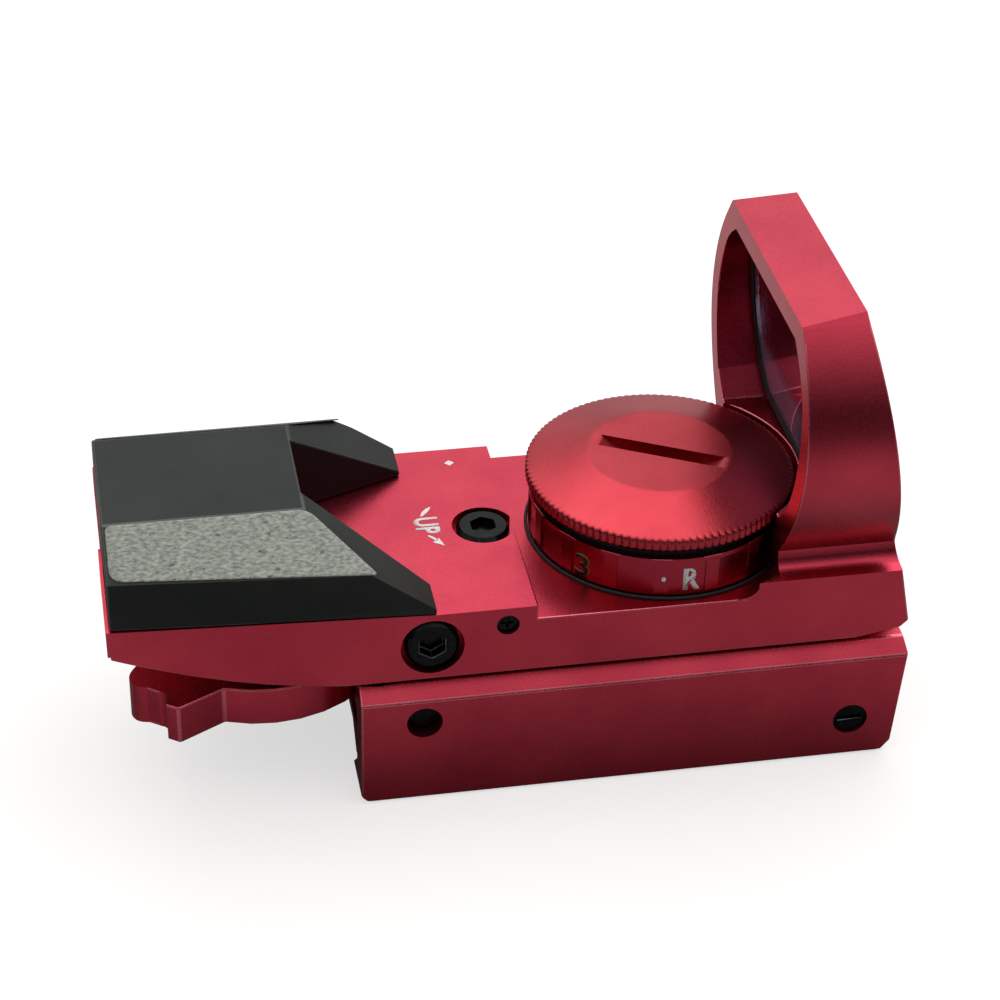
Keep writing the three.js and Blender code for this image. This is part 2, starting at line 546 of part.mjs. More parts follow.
function addDial() {
  const dial = new THREE.Group();
  dial.position.set(DIAL_X, 0, 0);
  pieces.add(dial);
  piece('battery_cap', batteryCap(), redAnodised, dial);
  piece('number_ring', numberedRing(), redAnodised, dial);

  const cupOuter = RING_R - 1.9;
  const cupInner = CELL_R + 0.3;
  const cupTop = RING_TOP_Z + 0.35;
  let cup = solid(turned([
    [1.6, CUP_FLOOR_Z], [cupOuter - 0.6, CUP_FLOOR_Z], [cupOuter - 0.6, 5.2], [cupOuter, 5.6],
    [cupOuter, RING_TOP_Z - 0.5], [RING_R - 0.85, RING_TOP_Z - 0.5], [RING_R - 0.85, cupTop],
    [cupInner, cupTop], [cupInner, CUP_FLOOR_Z + 1.6], [1.6, CUP_FLOOR_Z + 1.6],
    [1.6, CUP_FLOOR_Z]], 36));
  const cupScrewR = 6;
  const board = solid(turned([[0, CAVITY_Z + 0.25], [RING_R - 0.6, CAVITY_Z + 0.25],
    [RING_R - 0.6, CAVITY_Z + 1.25], [0, CAVITY_Z + 1.25]], 32));
  let boardCut = board;
  for (const side of [-1, 1]) {
    const y = side * cupScrewR;
    cup = cup.subtract(rodZ(0.9, 0, y, 0, 6, 12)).subtract(rodZ(1.75, 0, y, 4.0, 6, 16));
    boardCut = boardCut.subtract(rodZ(0.9, 0, y, 0, 6, 12));
    const screw = turned([
      [0, CAVITY_Z + 0.3], [0.8, CAVITY_Z + 0.3], [0.8, 4.05], [1.6, 4.05], [1.6, 4.6],
      [0, 4.6]], 12);
    piece(side < 0 ? 'cup_screw_near' : 'cup_screw_far', screw, brightSteel, dial)
      .position.set(0, y, 0);
  }
  const leafSlot = box(-2.6, 2.6, -cupOuter - 1, -cupOuter + 0.65, 7.7, 9.7);
  piece('battery_cup', cup.subtract(leafSlot), blackPlastic, dial);
  piece('switch_board', boardCut, greenBoard, dial);
  const detent = box(-2.3, 2.3, -cupOuter + 0.19, -cupOuter + 0.42, 7.9, 9.5)
    .add(rodZ(0.3, 0, -cupOuter + 0.28, 8.2, 9.2, 8));
  piece('detent_leaf', detent, brightSteel, dial);
  const wiper = solid(tube(RING_R - 0.9, RING_R - 1.7, 3.05, 3.95, 32))
    .intersect(box(-20, 20, -20, -4, 0, 9));
  piece('switch_wiper', wiper, brass, dial);
  piece('battery_cell', turned([
    [0, CELL_Z], [CELL_R - 0.4, CELL_Z], [CELL_R - 0.1, CELL_Z + 0.4], [CELL_R, CELL_Z + 0.7],
    [CELL_R, CELL_Z + CELL_THICK], [0, CELL_Z + CELL_THICK]], 32), brightSteel, dial);
  const contact = box(-1, 1, -1, 1, CAVITY_Z + 1.4, 4.8)
    .add(box(-4.5, 4.5, -1, 1, 4.8, 5.05))
    .add(box(3.6, 4.5, -1, 1, 5, CELL_Z - 0.2))
    .add(box(-4.5, -3.6, -1, 1, 5, CELL_Z - 0.2));
  piece('cell_contact', contact, brass, dial);
  const sealSection = 0.27;
  piece('cap_seal', new THREE.TorusGeometry(CELL_R + 1.2, sealSection, 5, 24), blackRubber, dial)
    .position.set(0, 0, RING_TOP_Z + 0.68);
}

function addLead() {
  const y = 4.9;
  const route = [
    [DIAL_X - RING_R + 1.2, y, 2.2], [TUNNEL_END_X + 1.2, y, 1.7],
    [TUNNEL_END_X - 3, y + 0.2, 1.66], [CLAMP_REAR_X + 2, y + 0.9, 1.66]].map((p) => new THREE.Vector3(...p));
  const strip = outline([[-0.35, -0.1], [0.35, -0.1], [0.35, 0.1], [-0.35, 0.1]]);
  const lead = new THREE.ExtrudeGeometry(strip, {
    extrudePath: new THREE.CatmullRomCurve3(route), steps: 16, bevelEnabled: false,
  });
  piece('emitter_lead', solid(lead), amberFilm);
}

// ---- rail clamp ----
const railSlopeZ = RAIL_ROOF_Z - RAIL_ANGLE_DROP;
const railTopHalf = RAIL_HALF + 0.3 - RAIL_ANGLE_DROP;
const lipHalf = RAIL_HALF + 0.3 - (CLAMP_DEPTH + railSlopeZ) * 0.68;
const linkEndX = GUIDE_PIN_X - 2.4;
const jawSpringXs = [CLAMP_REAR_X + 14, CLAMP_FRONT_X - 12];

// Side outline that the base and the jaw share, with broken corners fore and aft.
const clampSide = outline([
  [CLAMP_REAR_X, 0], [CLAMP_REAR_X, -CLAMP_DEPTH + 1], [CLAMP_REAR_X + 1, -CLAMP_DEPTH],
  [CLAMP_FRONT_X - 2.1, -CLAMP_DEPTH], [CLAMP_FRONT_X - 0.8, -CLAMP_DEPTH + 1.6],
  [CLAMP_FRONT_X, CLAMP_EDGE_Z], [CLAMP_FRONT_X - 0.6, 0]]);

function clampBase() {
  const y = JAW_INNER_Y + 0.3;
  const profile = outline([
    [y, LEVER_TOP_Z + 0.35], [HALF - 4.2, LEVER_TOP_Z + 0.35], [HALF - CLAMP_BEVEL, -1.32],
    [HALF, CLAMP_EDGE_Z], [HALF, -CLAMP_DEPTH + 0.4], [HALF - 0.4, -CLAMP_DEPTH],
    [lipHalf, -CLAMP_DEPTH], [lipHalf, -CLAMP_DEPTH + 0.9], [RAIL_HALF + 0.3, railSlopeZ],
    [railTopHalf, RAIL_ROOF_Z], [-railTopHalf, RAIL_ROOF_Z], [y, railSlopeZ + 0.3]]);
  const linkFront = GUIDE_PIN_X - 1.9;
  const slotTop = HUB_BOTTOM_Z - 0.4;
  let base = prismX(profile, CLAMP_REAR_X, CLAMP_FRONT_X)
    .intersect(prismY(clampSide, -HALF - 1, HALF + 1))
    .subtract(rodZ(HUB_R + 0.35, PIVOT_X, 0, slotTop, 1, 48))
    .subtract(box(CLAMP_REAR_X - 1, linkFront, -HALF, 7.2, slotTop - 2.4, slotTop + 0.1))
    .subtract(box(CLAMP_REAR_X + 16, HOUSING_LENGTH - 14, -7.4, 7.4, -6.4, 1));
  base = base
    .subtract(rodY(CROSS_PIN_R + RUN, CROSS_PIN_X, CROSS_PIN_Z, -HALF, HALF - 1))
    .subtract(rodY(1.5 + RUN, GUIDE_PIN_X, GUIDE_PIN_Z, -HALF, -6));
  for (const x of jawSpringXs) {
    base = base.subtract(rodY(1.9, x, GUIDE_PIN_Z, -HALF, JAW_INNER_Y + 3.2, 16));
  }
  for (const [x, sy] of clampScrewPlaces) {
    base = base.subtract(rodZ(1.35, x, sy, -20, 1, 16))
      .subtract(rodZ(2.3, x, sy, -20, RAIL_ROOF_Z + 2.2, 20));
  }
  return base;
}

function clampJaw() {
  const profile = outline([
    [-HALF, -CLAMP_DEPTH + 0.4], [-HALF + 0.4, -CLAMP_DEPTH], [-lipHalf, -CLAMP_DEPTH],
    [-lipHalf, -CLAMP_DEPTH + 0.9], [JAW_INNER_Y, railSlopeZ], [JAW_INNER_Y, -1.32],
    [-HALF + CLAMP_BEVEL, -1.32], [-HALF, CLAMP_EDGE_Z]]);
  const slotTop = HUB_BOTTOM_Z - 0.4;
  return prismX(profile, CLAMP_REAR_X, CLAMP_FRONT_X)
    .intersect(prismY(clampSide, -HALF - 1, HALF + 1))
    .subtract(rodY(PIN_HOLE_R, CROSS_PIN_X, CROSS_PIN_Z, -HALF - 1, 0, 24))
    .subtract(rodY(PIN_HOLE_R, GUIDE_PIN_X, GUIDE_PIN_Z, -HALF - 1, 0, 24))
    .subtract(box(CLAMP_REAR_X + 0.4, linkEndX + 0.15, JAW_INNER_Y - 1.9, 0,
      slotTop - 2.1, slotTop - 0.05))
    .subtract(rodZ(0.8 + RUN, CLAMP_REAR_X + 2.4, JAW_INNER_Y - 0.9, slotTop - 3.2, 0, 12));
}

function addClamp() {
  piece('clamp_base', clampBase(), redAnodised);
  piece('clamp_jaw', clampJaw(), redAnodised);

  const crossPin = solid(turned([
    [0, 0], [1.72, 0], [1.72, JAW_THICK - 0.6], [CROSS_PIN_R, JAW_THICK - 0.6],
    [CROSS_PIN_R, HOUSING_WIDTH - 2.2], [0, HOUSING_WIDTH - 2.2]], 20))
    .subtract(box(-1.3, 1.3, -0.25, 0.25, -1, 0.7));
  const pin = piece('cross_pin', crossPin, blackSteel);
  pin.rotation.x = -Math.PI / 2;
  pin.position.set(CROSS_PIN_X, -HALF + 0.35, CROSS_PIN_Z);
  piece('guide_pin', rodY(1.5, GUIDE_PIN_X, GUIDE_PIN_Z, -HALF + 1.4, -6.2, 20), blackSteel);

  const coilTurns = 3.5;
  const coilLength = 2.5;
  class Helix extends THREE.Curve {
    getPoint(t, target = new THREE.Vector3()) {
      const angle = 2 * Math.PI * coilTurns * t;
      return target.set(1.3 * Math.cos(angle), coilLength * t, 1.3 * Math.sin(angle));
    }
  }
  const wire = new THREE.Shape().absarc(0, 0, 0.2, 0, 2 * Math.PI);
  jawSpringXs.forEach((x, i) => {
    const coil = new THREE.ExtrudeGeometry(wire, {
      extrudePath: new Helix(), steps: 28, curveSegments: 2, bevelEnabled: false,
    });
    piece(i ? 'jaw_spring_front' : 'jaw_spring_rear', solid(coil), brightSteel)
      .position.set(x, JAW_INNER_Y + 0.3, GUIDE_PIN_Z);
  });

  const names = ['rear_near', 'rear_far', 'front_near', 'front_far'];
  clampScrewPlaces.forEach(([x, y], i) => {
    const zHead = RAIL_ROOF_Z + 0.5;
    const screw = turned([
      [0, zHead], [2.1, zHead], [2.1, RAIL_ROOF_Z + 1.95], [1.25, RAIL_ROOF_Z + 1.95],
      [1.25, 4.9], [0, 4.9]], 16);
    const socket = rodZ(1, 0, 0, zHead - 1, zHead + 0.8, 6);
    piece(`clamp_screw_${names[i]}`, solid(screw).subtract(socket), blackSteel)
      .position.set(x, y, 0);
  });
}

// ---- quick-release lever, its cam and the link to the jaw ----
function leverOutline() {
  const at = (r, degrees) => [r * Math.cos(radians(degrees)), r * Math.sin(radians(degrees))];
  const shape = new THREE.Shape();
  shape.absarc(0, 0, HUB_R, radians(-155), radians(-112), true);
  shape.lineTo(...at(LEVER_REACH, -123));
  shape.lineTo(...at(LEVER_REACH, -127.5));
  const dip = at(LEVER_REACH - 1.9, -130.5);
  shape.quadraticCurveTo(...dip, ...at(LEVER_REACH - 1.3, -134));
  shape.lineTo(...at(LEVER_REACH - 1.1, -138.5));
  shape.quadraticCurveTo(...at(LEVER_REACH - 0.3, -141.5), ...at(LEVER_REACH - 0.5, -144));
  shape.quadraticCurveTo(...at(LEVER_REACH - 0.6, -149), ...at(LEVER_REACH - 3, -152));
  shape.closePath();
  return shape;
}

function addLever() {
  const lever = new THREE.Group();
  lever.position.set(PIVOT_X, 0, 0);
  pieces.add(lever);
  const camX = CAM_OFFSET * Math.cos(radians(LEVER_THROW / 2));
  const camY = CAM_OFFSET * Math.sin(radians(LEVER_THROW / 2));
  const linkTop = HUB_BOTTOM_Z - 0.7;
  const linkBottom = linkTop - 1.7;
  const camBottom = linkBottom - 0.1;
  const body = prismZ(leverOutline(), HUB_BOTTOM_Z, LEVER_TOP_Z, 14)
    .add(rodZ(CAM_R, camX, camY, camBottom, HUB_BOTTOM_Z + 0.5, 32))
    .subtract(rodZ(2.6, 0, 0, -20, 2, 24));
  piece('qd_lever', body, redAnodised, lever);
  const bushTop = LEVER_TOP_Z + 0.2;
  piece('lever_bush', tube(2.5, 2.05, camBottom - 0.05, bushTop, 20), brass, lever);
  piece('lever_washer', tube(5.4, 2.1, camBottom - 0.35, camBottom - 0.1, 20), brightSteel, lever);
  const headTop = camBottom - 0.4;
  const screw = solid(turned([
    [0, headTop - 0.85], [3.1, headTop - 0.85], [3.4, headTop - 0.6], [3.4, headTop],
    [1.9, headTop], [1.9, 2.3], [0, 2.3]], 24));
  piece('lever_screw', screw.subtract(rodZ(1.3, 0, 0, headTop - 2, headTop - 0.2, 6)),
    blackSteel, lever);

  const slotHalf = CAM_OFFSET + 0.2;
  const eye = new THREE.Shape();
  const eyeR = CAM_R + RUN;
  eye.absarc(slotHalf, camY, eyeR, -Math.PI / 2, Math.PI / 2, false);
  eye.absarc(-slotHalf, camY, eyeR, Math.PI / 2, 3 * Math.PI / 2, false);
  eye.closePath();
  const rim = CAM_R + 1.7;
  const frontX = linkEndX - PIVOT_X;
  const rearX = CLAMP_REAR_X + 0.75 - PIVOT_X;
  const plate = new THREE.Shape();
  plate.absarc(-slotHalf, camY, rim, Math.PI / 2, 3 * Math.PI / 2, false);
  plate.lineTo(rearX, camY - rim);
  plate.lineTo(rearX, JAW_INNER_Y - 1.7);
  plate.lineTo(frontX, JAW_INNER_Y - 1.7);
  plate.lineTo(frontX, camY + rim);
  plate.closePath();
  plate.holes.push(new THREE.Path(eye.getPoints(10)));
  const pinX = CLAMP_REAR_X + 2.4 - PIVOT_X;
  const pinY = JAW_INNER_Y - 0.9;
  piece('jaw_link', prismZ(plate, linkBottom, linkTop, 8)
    .subtract(rodZ(0.8 + RUN, pinX, pinY, -20, 0, 12)), brightSteel, lever);
  piece('link_pin', rodZ(0.8, pinX, pinY, linkBottom - 0.6, -1.6, 12), blackSteel, lever);
}

// ---- cover screws ----
function addCoverScrews() {
  coverScrewPlaces.forEach(([x, y, z], i) => {
    const name = `cover_screw_${i < 2 ? 'rear' : 'front'}_${y < 0 ? 'near' : 'far'}`;
    piece(name, flatScrew(1, 11 - z, 1.9), blackSteel).position.set(x, y, z);
  });
}

piece('housing', housing(), redAnodised);
piece('emitter_cover', emitterCover(), blackAnodised);
addWindow();
addEmitter();
addDial();
addLead();
addClamp();
addLever();
addCoverScrews();

// The row's origin: middle of the length and width, on the plane that the clamp stands on.
pieces.position.set(-(REAR_PAD_X + CLAMP_FRONT_X) / 2, 0, CLAMP_DEPTH);
const redDotFinder = new THREE.Group();
redDotFinder.add(pieces);

export default redDotFinder;
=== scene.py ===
import json
import math

import bmesh
import bpy
import numpy as np
from mathutils import Matrix, Vector
from mathutils.geometry import intersect_point_line

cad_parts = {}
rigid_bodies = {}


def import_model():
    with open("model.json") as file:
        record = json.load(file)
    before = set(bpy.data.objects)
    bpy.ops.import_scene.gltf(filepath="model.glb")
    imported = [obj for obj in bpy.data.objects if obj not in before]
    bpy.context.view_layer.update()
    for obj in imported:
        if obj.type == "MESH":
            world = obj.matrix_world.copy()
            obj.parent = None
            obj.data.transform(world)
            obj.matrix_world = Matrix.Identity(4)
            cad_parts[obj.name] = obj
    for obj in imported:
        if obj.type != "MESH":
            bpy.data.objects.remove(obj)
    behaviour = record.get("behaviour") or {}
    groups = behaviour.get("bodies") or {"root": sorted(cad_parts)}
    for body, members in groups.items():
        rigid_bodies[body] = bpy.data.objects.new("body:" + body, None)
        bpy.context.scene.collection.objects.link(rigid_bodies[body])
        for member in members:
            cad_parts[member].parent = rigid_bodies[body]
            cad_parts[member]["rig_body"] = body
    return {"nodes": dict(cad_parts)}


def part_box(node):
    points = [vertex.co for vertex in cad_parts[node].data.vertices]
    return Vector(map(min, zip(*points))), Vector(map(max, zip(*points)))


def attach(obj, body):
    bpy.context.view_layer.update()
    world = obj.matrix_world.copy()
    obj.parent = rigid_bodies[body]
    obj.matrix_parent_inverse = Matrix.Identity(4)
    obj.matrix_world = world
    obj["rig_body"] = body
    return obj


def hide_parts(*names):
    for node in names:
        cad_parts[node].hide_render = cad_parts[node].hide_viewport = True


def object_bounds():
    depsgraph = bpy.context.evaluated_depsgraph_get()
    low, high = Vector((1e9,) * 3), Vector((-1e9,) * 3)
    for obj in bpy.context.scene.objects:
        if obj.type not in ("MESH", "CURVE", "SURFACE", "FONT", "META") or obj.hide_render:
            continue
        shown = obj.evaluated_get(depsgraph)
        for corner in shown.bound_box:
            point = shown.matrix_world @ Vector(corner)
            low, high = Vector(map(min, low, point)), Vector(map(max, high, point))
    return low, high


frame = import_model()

cad_low, cad_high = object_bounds()
scene = bpy.context.scene
scene.view_settings.view_transform = "Standard"


# ---- camera ----
# The view is from behind the eye end and to the left, looking down at 34 degrees with a
# long lens. It aims at the middle of the sight's box, a little ahead of it and below it.

VIEW_TURN = math.radians(-11.264)
VIEW_RAISE = math.radians(34.097)
VIEW_ROLL = math.radians(1.486)
VIEW_DISTANCE = 0.26786

view_right = Vector((math.cos(VIEW_TURN), math.sin(VIEW_TURN), 0))
view_back = Vector((
    math.sin(VIEW_TURN) * math.cos(VIEW_RAISE),
    -math.cos(VIEW_TURN) * math.cos(VIEW_RAISE),
    math.sin(VIEW_RAISE)))
view_up = view_back.cross(view_right)
view_aim = (cad_low + cad_high) / 2 + Vector((0.0005, -0.00007, -0.00017))
view_axes = Matrix((
    view_right * math.cos(VIEW_ROLL) + view_up * math.sin(VIEW_ROLL),
    view_up * math.cos(VIEW_ROLL) - view_right * math.sin(VIEW_ROLL),
    view_back)).transposed()

camera_data = bpy.data.cameras.new("camera")
camera_data.sensor_width = 36
camera_data.lens = 94.815
camera_data.shift_x = -0.0026
camera_data.shift_y = 0.00016
camera_data.clip_start = 0.005
camera = bpy.data.objects.new("camera", camera_data)
camera.matrix_world = Matrix.Translation(view_aim + view_back * VIEW_DISTANCE) @ view_axes.to_4x4()
scene.collection.objects.link(camera)
scene.camera = camera


# ---- floor, studio and soft key ----
# A pale sweep of paper under a tented studio: the tent is bright overhead and behind the
# object and dim on the viewer's side. One large soft box hangs over the far side.

def add_node(tree, kind, links=(), **settings):
    """Adds a node of a kind, sets its properties and its inputs' values, and links its inputs.

    links maps an input's name or number to the output socket that feeds it. A setting whose
    name is a property of the node sets that, and any other sets the input of that name, with
    underscores for spaces."""
    node = tree.nodes.new(kind)
    for name, value in settings.items():
        if hasattr(node, name):
            setattr(node, name, value)
        else:
            node.inputs[name.replace("_", " ")].default_value = value
    for name, socket in dict(links).items():
        tree.links.new(socket, node.inputs[name])
    return node


def srgb(code):
    """An sRGB hex colour as linear RGBA."""
    parts = np.array([int(code[i:i + 2], 16) for i in (1, 3, 5)]) / 255
    linear = np.where(parts <= 0.04045, parts / 12.92, ((parts + 0.055) / 1.055) ** 2.4)
    return (*[float(part) for part in linear], 1.0)


def stepped(tree, value, from_low, from_high, to_low, to_high):
    """The output of a Map Range that eases value smoothly from one range into another."""
    node = add_node(tree, "ShaderNodeMapRange", {"Value": value}, interpolation_type="SMOOTHSTEP",
                    From_Min=from_low, From_Max=from_high, To_Min=to_low, To_Max=to_high)
    return node.outputs["Result"]


def background_rays(tree):
    """Two shares: 1 for a ray from the camera or through glass, and 1 for a mirrored ray."""
    path = add_node(tree, "ShaderNodeLightPath")
    seen = add_node(tree, "ShaderNodeMath", {
        0: path.outputs["Is Camera Ray"], 1: path.outputs["Is Transmission Ray"]},
        operation="MAXIMUM")
    return seen.outputs[0], path.outputs["Is Glossy Ray"]


world = bpy.data.worlds.new("tent")
world.use_nodes = True
scene.world = world
tent = world.node_tree
tent.nodes.clear()
ray_way = add_node(tent, "ShaderNodeTexCoord")
way = add_node(tent, "ShaderNodeSeparateXYZ", {0: ray_way.outputs["Generated"]})
from_above = stepped(tent, way.outputs["Z"], 0.1, 0.66, 0.12, 1.27)
from_behind = stepped(tent, way.outputs["Y"], 0.1, 0.9, 0.1, 0.62)
either = add_node(tent, "ShaderNodeMath", {0: from_above, 1: from_behind}, operation="MAXIMUM")
from_left = stepped(tent, way.outputs["X"], -0.7, 0.3, 0.72, 1.0)
from_front = stepped(tent, way.outputs["Y"], -0.92, -0.36, 0.3, 1.0)
one_side = add_node(tent, "ShaderNodeMath", {0: from_left, 1: from_front}, operation="MULTIPLY")
tent_light = add_node(tent, "ShaderNodeMath", {0: either.outputs[0], 1: one_side.outputs[0]},
                      operation="MULTIPLY")
seen_rays, glossy_rays = background_rays(tent)
glossy_far = add_node(tent, "ShaderNodeMath", {
    0: glossy_rays, 1: stepped(tent, way.outputs["Y"], 0.3, 1.0, 0.0, 0.25)}, operation="MULTIPLY")
white_share = add_node(tent, "ShaderNodeMath", {0: seen_rays, 1: glossy_far.outputs[0]},
                       operation="MAXIMUM")
dim = add_node(tent, "ShaderNodeBackground", {"Strength": tent_light.outputs[0]})
white = add_node(tent, "ShaderNodeBackground", Strength=1.0)
dim.inputs["Color"].default_value = (1, 1, 1, 1)
white.inputs["Color"].default_value = (1, 1, 1, 1)
tent_mix = add_node(tent, "ShaderNodeMixShader", {
    0: white_share.outputs[0], 1: dim.outputs[0], 2: white.outputs[0]})
add_node(tent, "ShaderNodeOutputWorld", {"Surface": tent_mix.outputs[0]})

FLOOR_HALF = 3.0
floor_mesh = bpy.data.meshes.new("floor")
floor_mesh.from_pydata(
    [(-FLOOR_HALF, -FLOOR_HALF, 0), (FLOOR_HALF, -FLOOR_HALF, 0),
     (FLOOR_HALF, FLOOR_HALF, 0), (-FLOOR_HALF, FLOOR_HALF, 0)], [], [(0, 1, 2, 3)])
floor = bpy.data.objects.new("floor", floor_mesh)
scene.collection.objects.link(floor)
paper = bpy.data.materials.new("pale_paper")
paper.use_nodes = True
tree = paper.node_tree
tree.nodes.clear()
seen_rays, glossy_rays = background_rays(tree)
floor_place = add_node(tree, "ShaderNodeTexCoord")
floor_way = add_node(tree, "ShaderNodeSeparateXYZ", {0: floor_place.outputs["Object"]})
glossy_lift = add_node(tree, "ShaderNodeMath", {
    0: glossy_rays, 1: stepped(tree, floor_way.outputs["Y"], 0.0, 0.25, 0.0, 0.2)},
    operation="MULTIPLY")
# the paper glows for these rays alone, enough to bring its lit tone up to white
PAPER_LIFT = 0.62
seen_lift = add_node(tree, "ShaderNodeMath", {0: seen_rays}, operation="MULTIPLY")
seen_lift.inputs[1].default_value = PAPER_LIFT
lift = add_node(tree, "ShaderNodeMath", {0: seen_lift.outputs[0], 1: glossy_lift.outputs[0]},
                operation="MAXIMUM")
glow = add_node(tree, "ShaderNodeEmission", {"Strength": lift.outputs[0]})
camera_ray = add_node(tree, "ShaderNodeLightPath").outputs["Is Camera Ray"]
# for all rays but the camera's the paper is painted darker: a painted shadow round the object's
# near side and far off in front of it, which the object's near faces mirror; the camera sees the
# paper's even tone
front_painted_shade = add_node(tree, "ShaderNodeMath", {
    0: stepped(tree, floor_way.outputs["Y"], -0.16, -0.07, 0.22, 1.0),
    1: stepped(tree, floor_way.outputs["Y"], -0.036, -0.01, 1.0, 0.45)}, operation="MINIMUM")
back_painted_shade = stepped(tree, floor_way.outputs["Y"], 0.0, 0.03, 0.0, 1.0)
painted_shade = add_node(tree, "ShaderNodeMath", {0: front_painted_shade.outputs[0], 1: back_painted_shade},
               operation="MAXIMUM")
shown = add_node(tree, "ShaderNodeMath", {0: painted_shade.outputs[0], 1: camera_ray},
                 operation="MAXIMUM")
paper_painted_shade = add_node(tree, "ShaderNodeMix", {0: shown.outputs[0]}, data_type="RGBA")
paper_painted_shade.inputs[6].default_value = (0, 0, 0, 1)
paper_painted_shade.inputs[7].default_value = srgb("#AFAEAC")
matt = add_node(tree, "ShaderNodeBsdfDiffuse", {"Color": paper_painted_shade.outputs[2]})
both = add_node(tree, "ShaderNodeAddShader", {0: matt.outputs[0], 1: glow.outputs[0]})
add_node(tree, "ShaderNodeOutputMaterial", {"Surface": both.outputs[0]})
floor_mesh.materials.append(paper)

SOFT_BOX_SIZE = (1.0, 0.7)
SOFT_BOX_RADIANCE = 1.25
soft_box_data = bpy.data.lights.new("soft_box", "AREA")
soft_box_data.shape = "RECTANGLE"
soft_box_data.size, soft_box_data.size_y = SOFT_BOX_SIZE
soft_box_data.energy = SOFT_BOX_RADIANCE * math.pi * SOFT_BOX_SIZE[0] * SOFT_BOX_SIZE[1]
soft_box = bpy.data.objects.new("soft_box", soft_box_data)
soft_box.location = (0.10, 0.36, 0.80)
soft_box.rotation_euler = soft_box.location.to_track_quat("Z", "Y").to_euler()
soft_box.visible_camera = False
scene.collection.objects.link(soft_box)


# ---- housing ----
# One machined aluminium body: deck, hood round the window, and the dial's pocket, whose foot
# the cutter left rounded. It is bead blasted, then anodised red. Tumbling broke its edges.

MM = 0.001
HOUSING_LENGTH = 80.9
HOOD_TOP_Z = 37.1
housing_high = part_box("housing")[1]


def on_housing(x, y, z):
    """A place in millimetres from the housing's rear end, middle and underside, in the frame."""
    return Vector((housing_high.x + (x - HOUSING_LENGTH) * MM, y * MM,
                   housing_high.z + (z - HOOD_TOP_Z) * MM))


def seat(piece, node):
    """Links a piece in place of a CAD node, makes it ride on the node's body and hides the node.
    """
    scene.collection.objects.link(piece)
    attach(piece, frame["nodes"][node]["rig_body"])
    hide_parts(node)
    return piece


SHARP_ANGLE = math.radians(32)
ROUND_ANGLE = math.radians(62)
FLAT_WIDTH_MM = 2.2


def shade_corners(mesh):
    """Sets the shading normal of every face corner.

    A corner's normal is the sum of the normals of the faces round its point that turn less
    than the sharp angle from its own face, each times its area. Two faces of one rounded edge
    may turn up to the round angle. A face whose mean width, twice its area over its perimeter,
    is more than a curve's facets ever have keeps its own normal, so a flat stays flat."""
    faces = mesh.polygons
    normal = np.empty(3 * len(faces))
    faces.foreach_get("normal", normal)
    normal = normal.reshape(-1, 3)
    area, first, count, finish = (np.empty(len(faces), kind) for kind in (float, int, int, int))
    faces.foreach_get("area", area)
    faces.foreach_get("loop_start", first)
    faces.foreach_get("loop_total", count)
    faces.foreach_get("material_index", finish)
    point = np.empty(len(mesh.loops), int)
    mesh.loops.foreach_get("vertex_index", point)
    place = np.empty(3 * len(mesh.vertices))
    mesh.vertices.foreach_get("co", place)
    place = place.reshape(-1, 3)
    face = np.repeat(np.arange(len(faces)), count)
    corner = np.arange(len(point))
    after = np.where(corner + 1 == (first + count)[face], first[face], corner + 1)
    side = np.linalg.norm(place[point[after]] - place[point], axis=1)
    width = 2 * area / np.bincount(face, side)
    order = np.argsort(point, kind="stable")
    rank = np.arange(len(order)) - np.searchsorted(point[order], point[order])
    around = np.full((len(place), rank.max() + 1), -1)
    around[point[order], rank] = face[order]
    near = around[point]
    likeness = np.einsum("ijk,ik->ij", normal[near], normal[face])
    on_round = (finish[near] == 1) & (finish[face] == 1)[:, None]
    joined = likeness > np.where(on_round, math.cos(ROUND_ANGLE), math.cos(SHARP_ANGLE))
    weight = np.where(joined & (near >= 0), area[near], 0)
    shade = np.einsum("ij,ijk->ik", weight, normal[near])
    shade = np.where((width[face] > FLAT_WIDTH_MM * MM)[:, None], normal[face], shade)
    shade /= np.linalg.norm(shade, axis=1)[:, None]
    mesh.normals_split_custom_set(shade.tolist())


# a round needs this many of its widths to the face's far side, which is any side whose
# direction has less than this share of the edge's own
ROOM_WIDTHS, OTHER_WAY = 2.2, -0.3


def has_room(edge, width, narrow):
    """Whether an edge can be rounded to a width without meeting the far side of a face.

    Each face beside it has to be wider than narrow on average, and the edge's middle has to
    be ROOM_WIDTHS from every edge that runs the other way round that face, so the thin tips
    and slivers of faces stay sharp."""
    middle = (edge.verts[0].co + edge.verts[1].co) / 2
    for face in edge.link_faces:
        if 2 * face.calc_area() / face.calc_perimeter() < narrow:
            return False
    for loop in edge.link_loops:
        way = (loop.link_loop_next.vert.co - loop.vert.co).normalized()
        for other in loop.face.loops:
            start, end = other.vert.co, other.link_loop_next.vert.co
            if other is loop or way.dot((end - start).normalized()) > OTHER_WAY:
                continue
            near, share = intersect_point_line(middle, start, end)
            near = start.lerp(end, min(max(share, 0), 1))
            if (near - middle).length < ROOM_WIDTHS * width:
                return False
    return True


KNOT_AREA = 0.1 * MM ** 2
KNOT_ROUNDS = 5
KNOT_WIDTHS, KNOT_CLEAR_WIDTHS = 1.3, 3


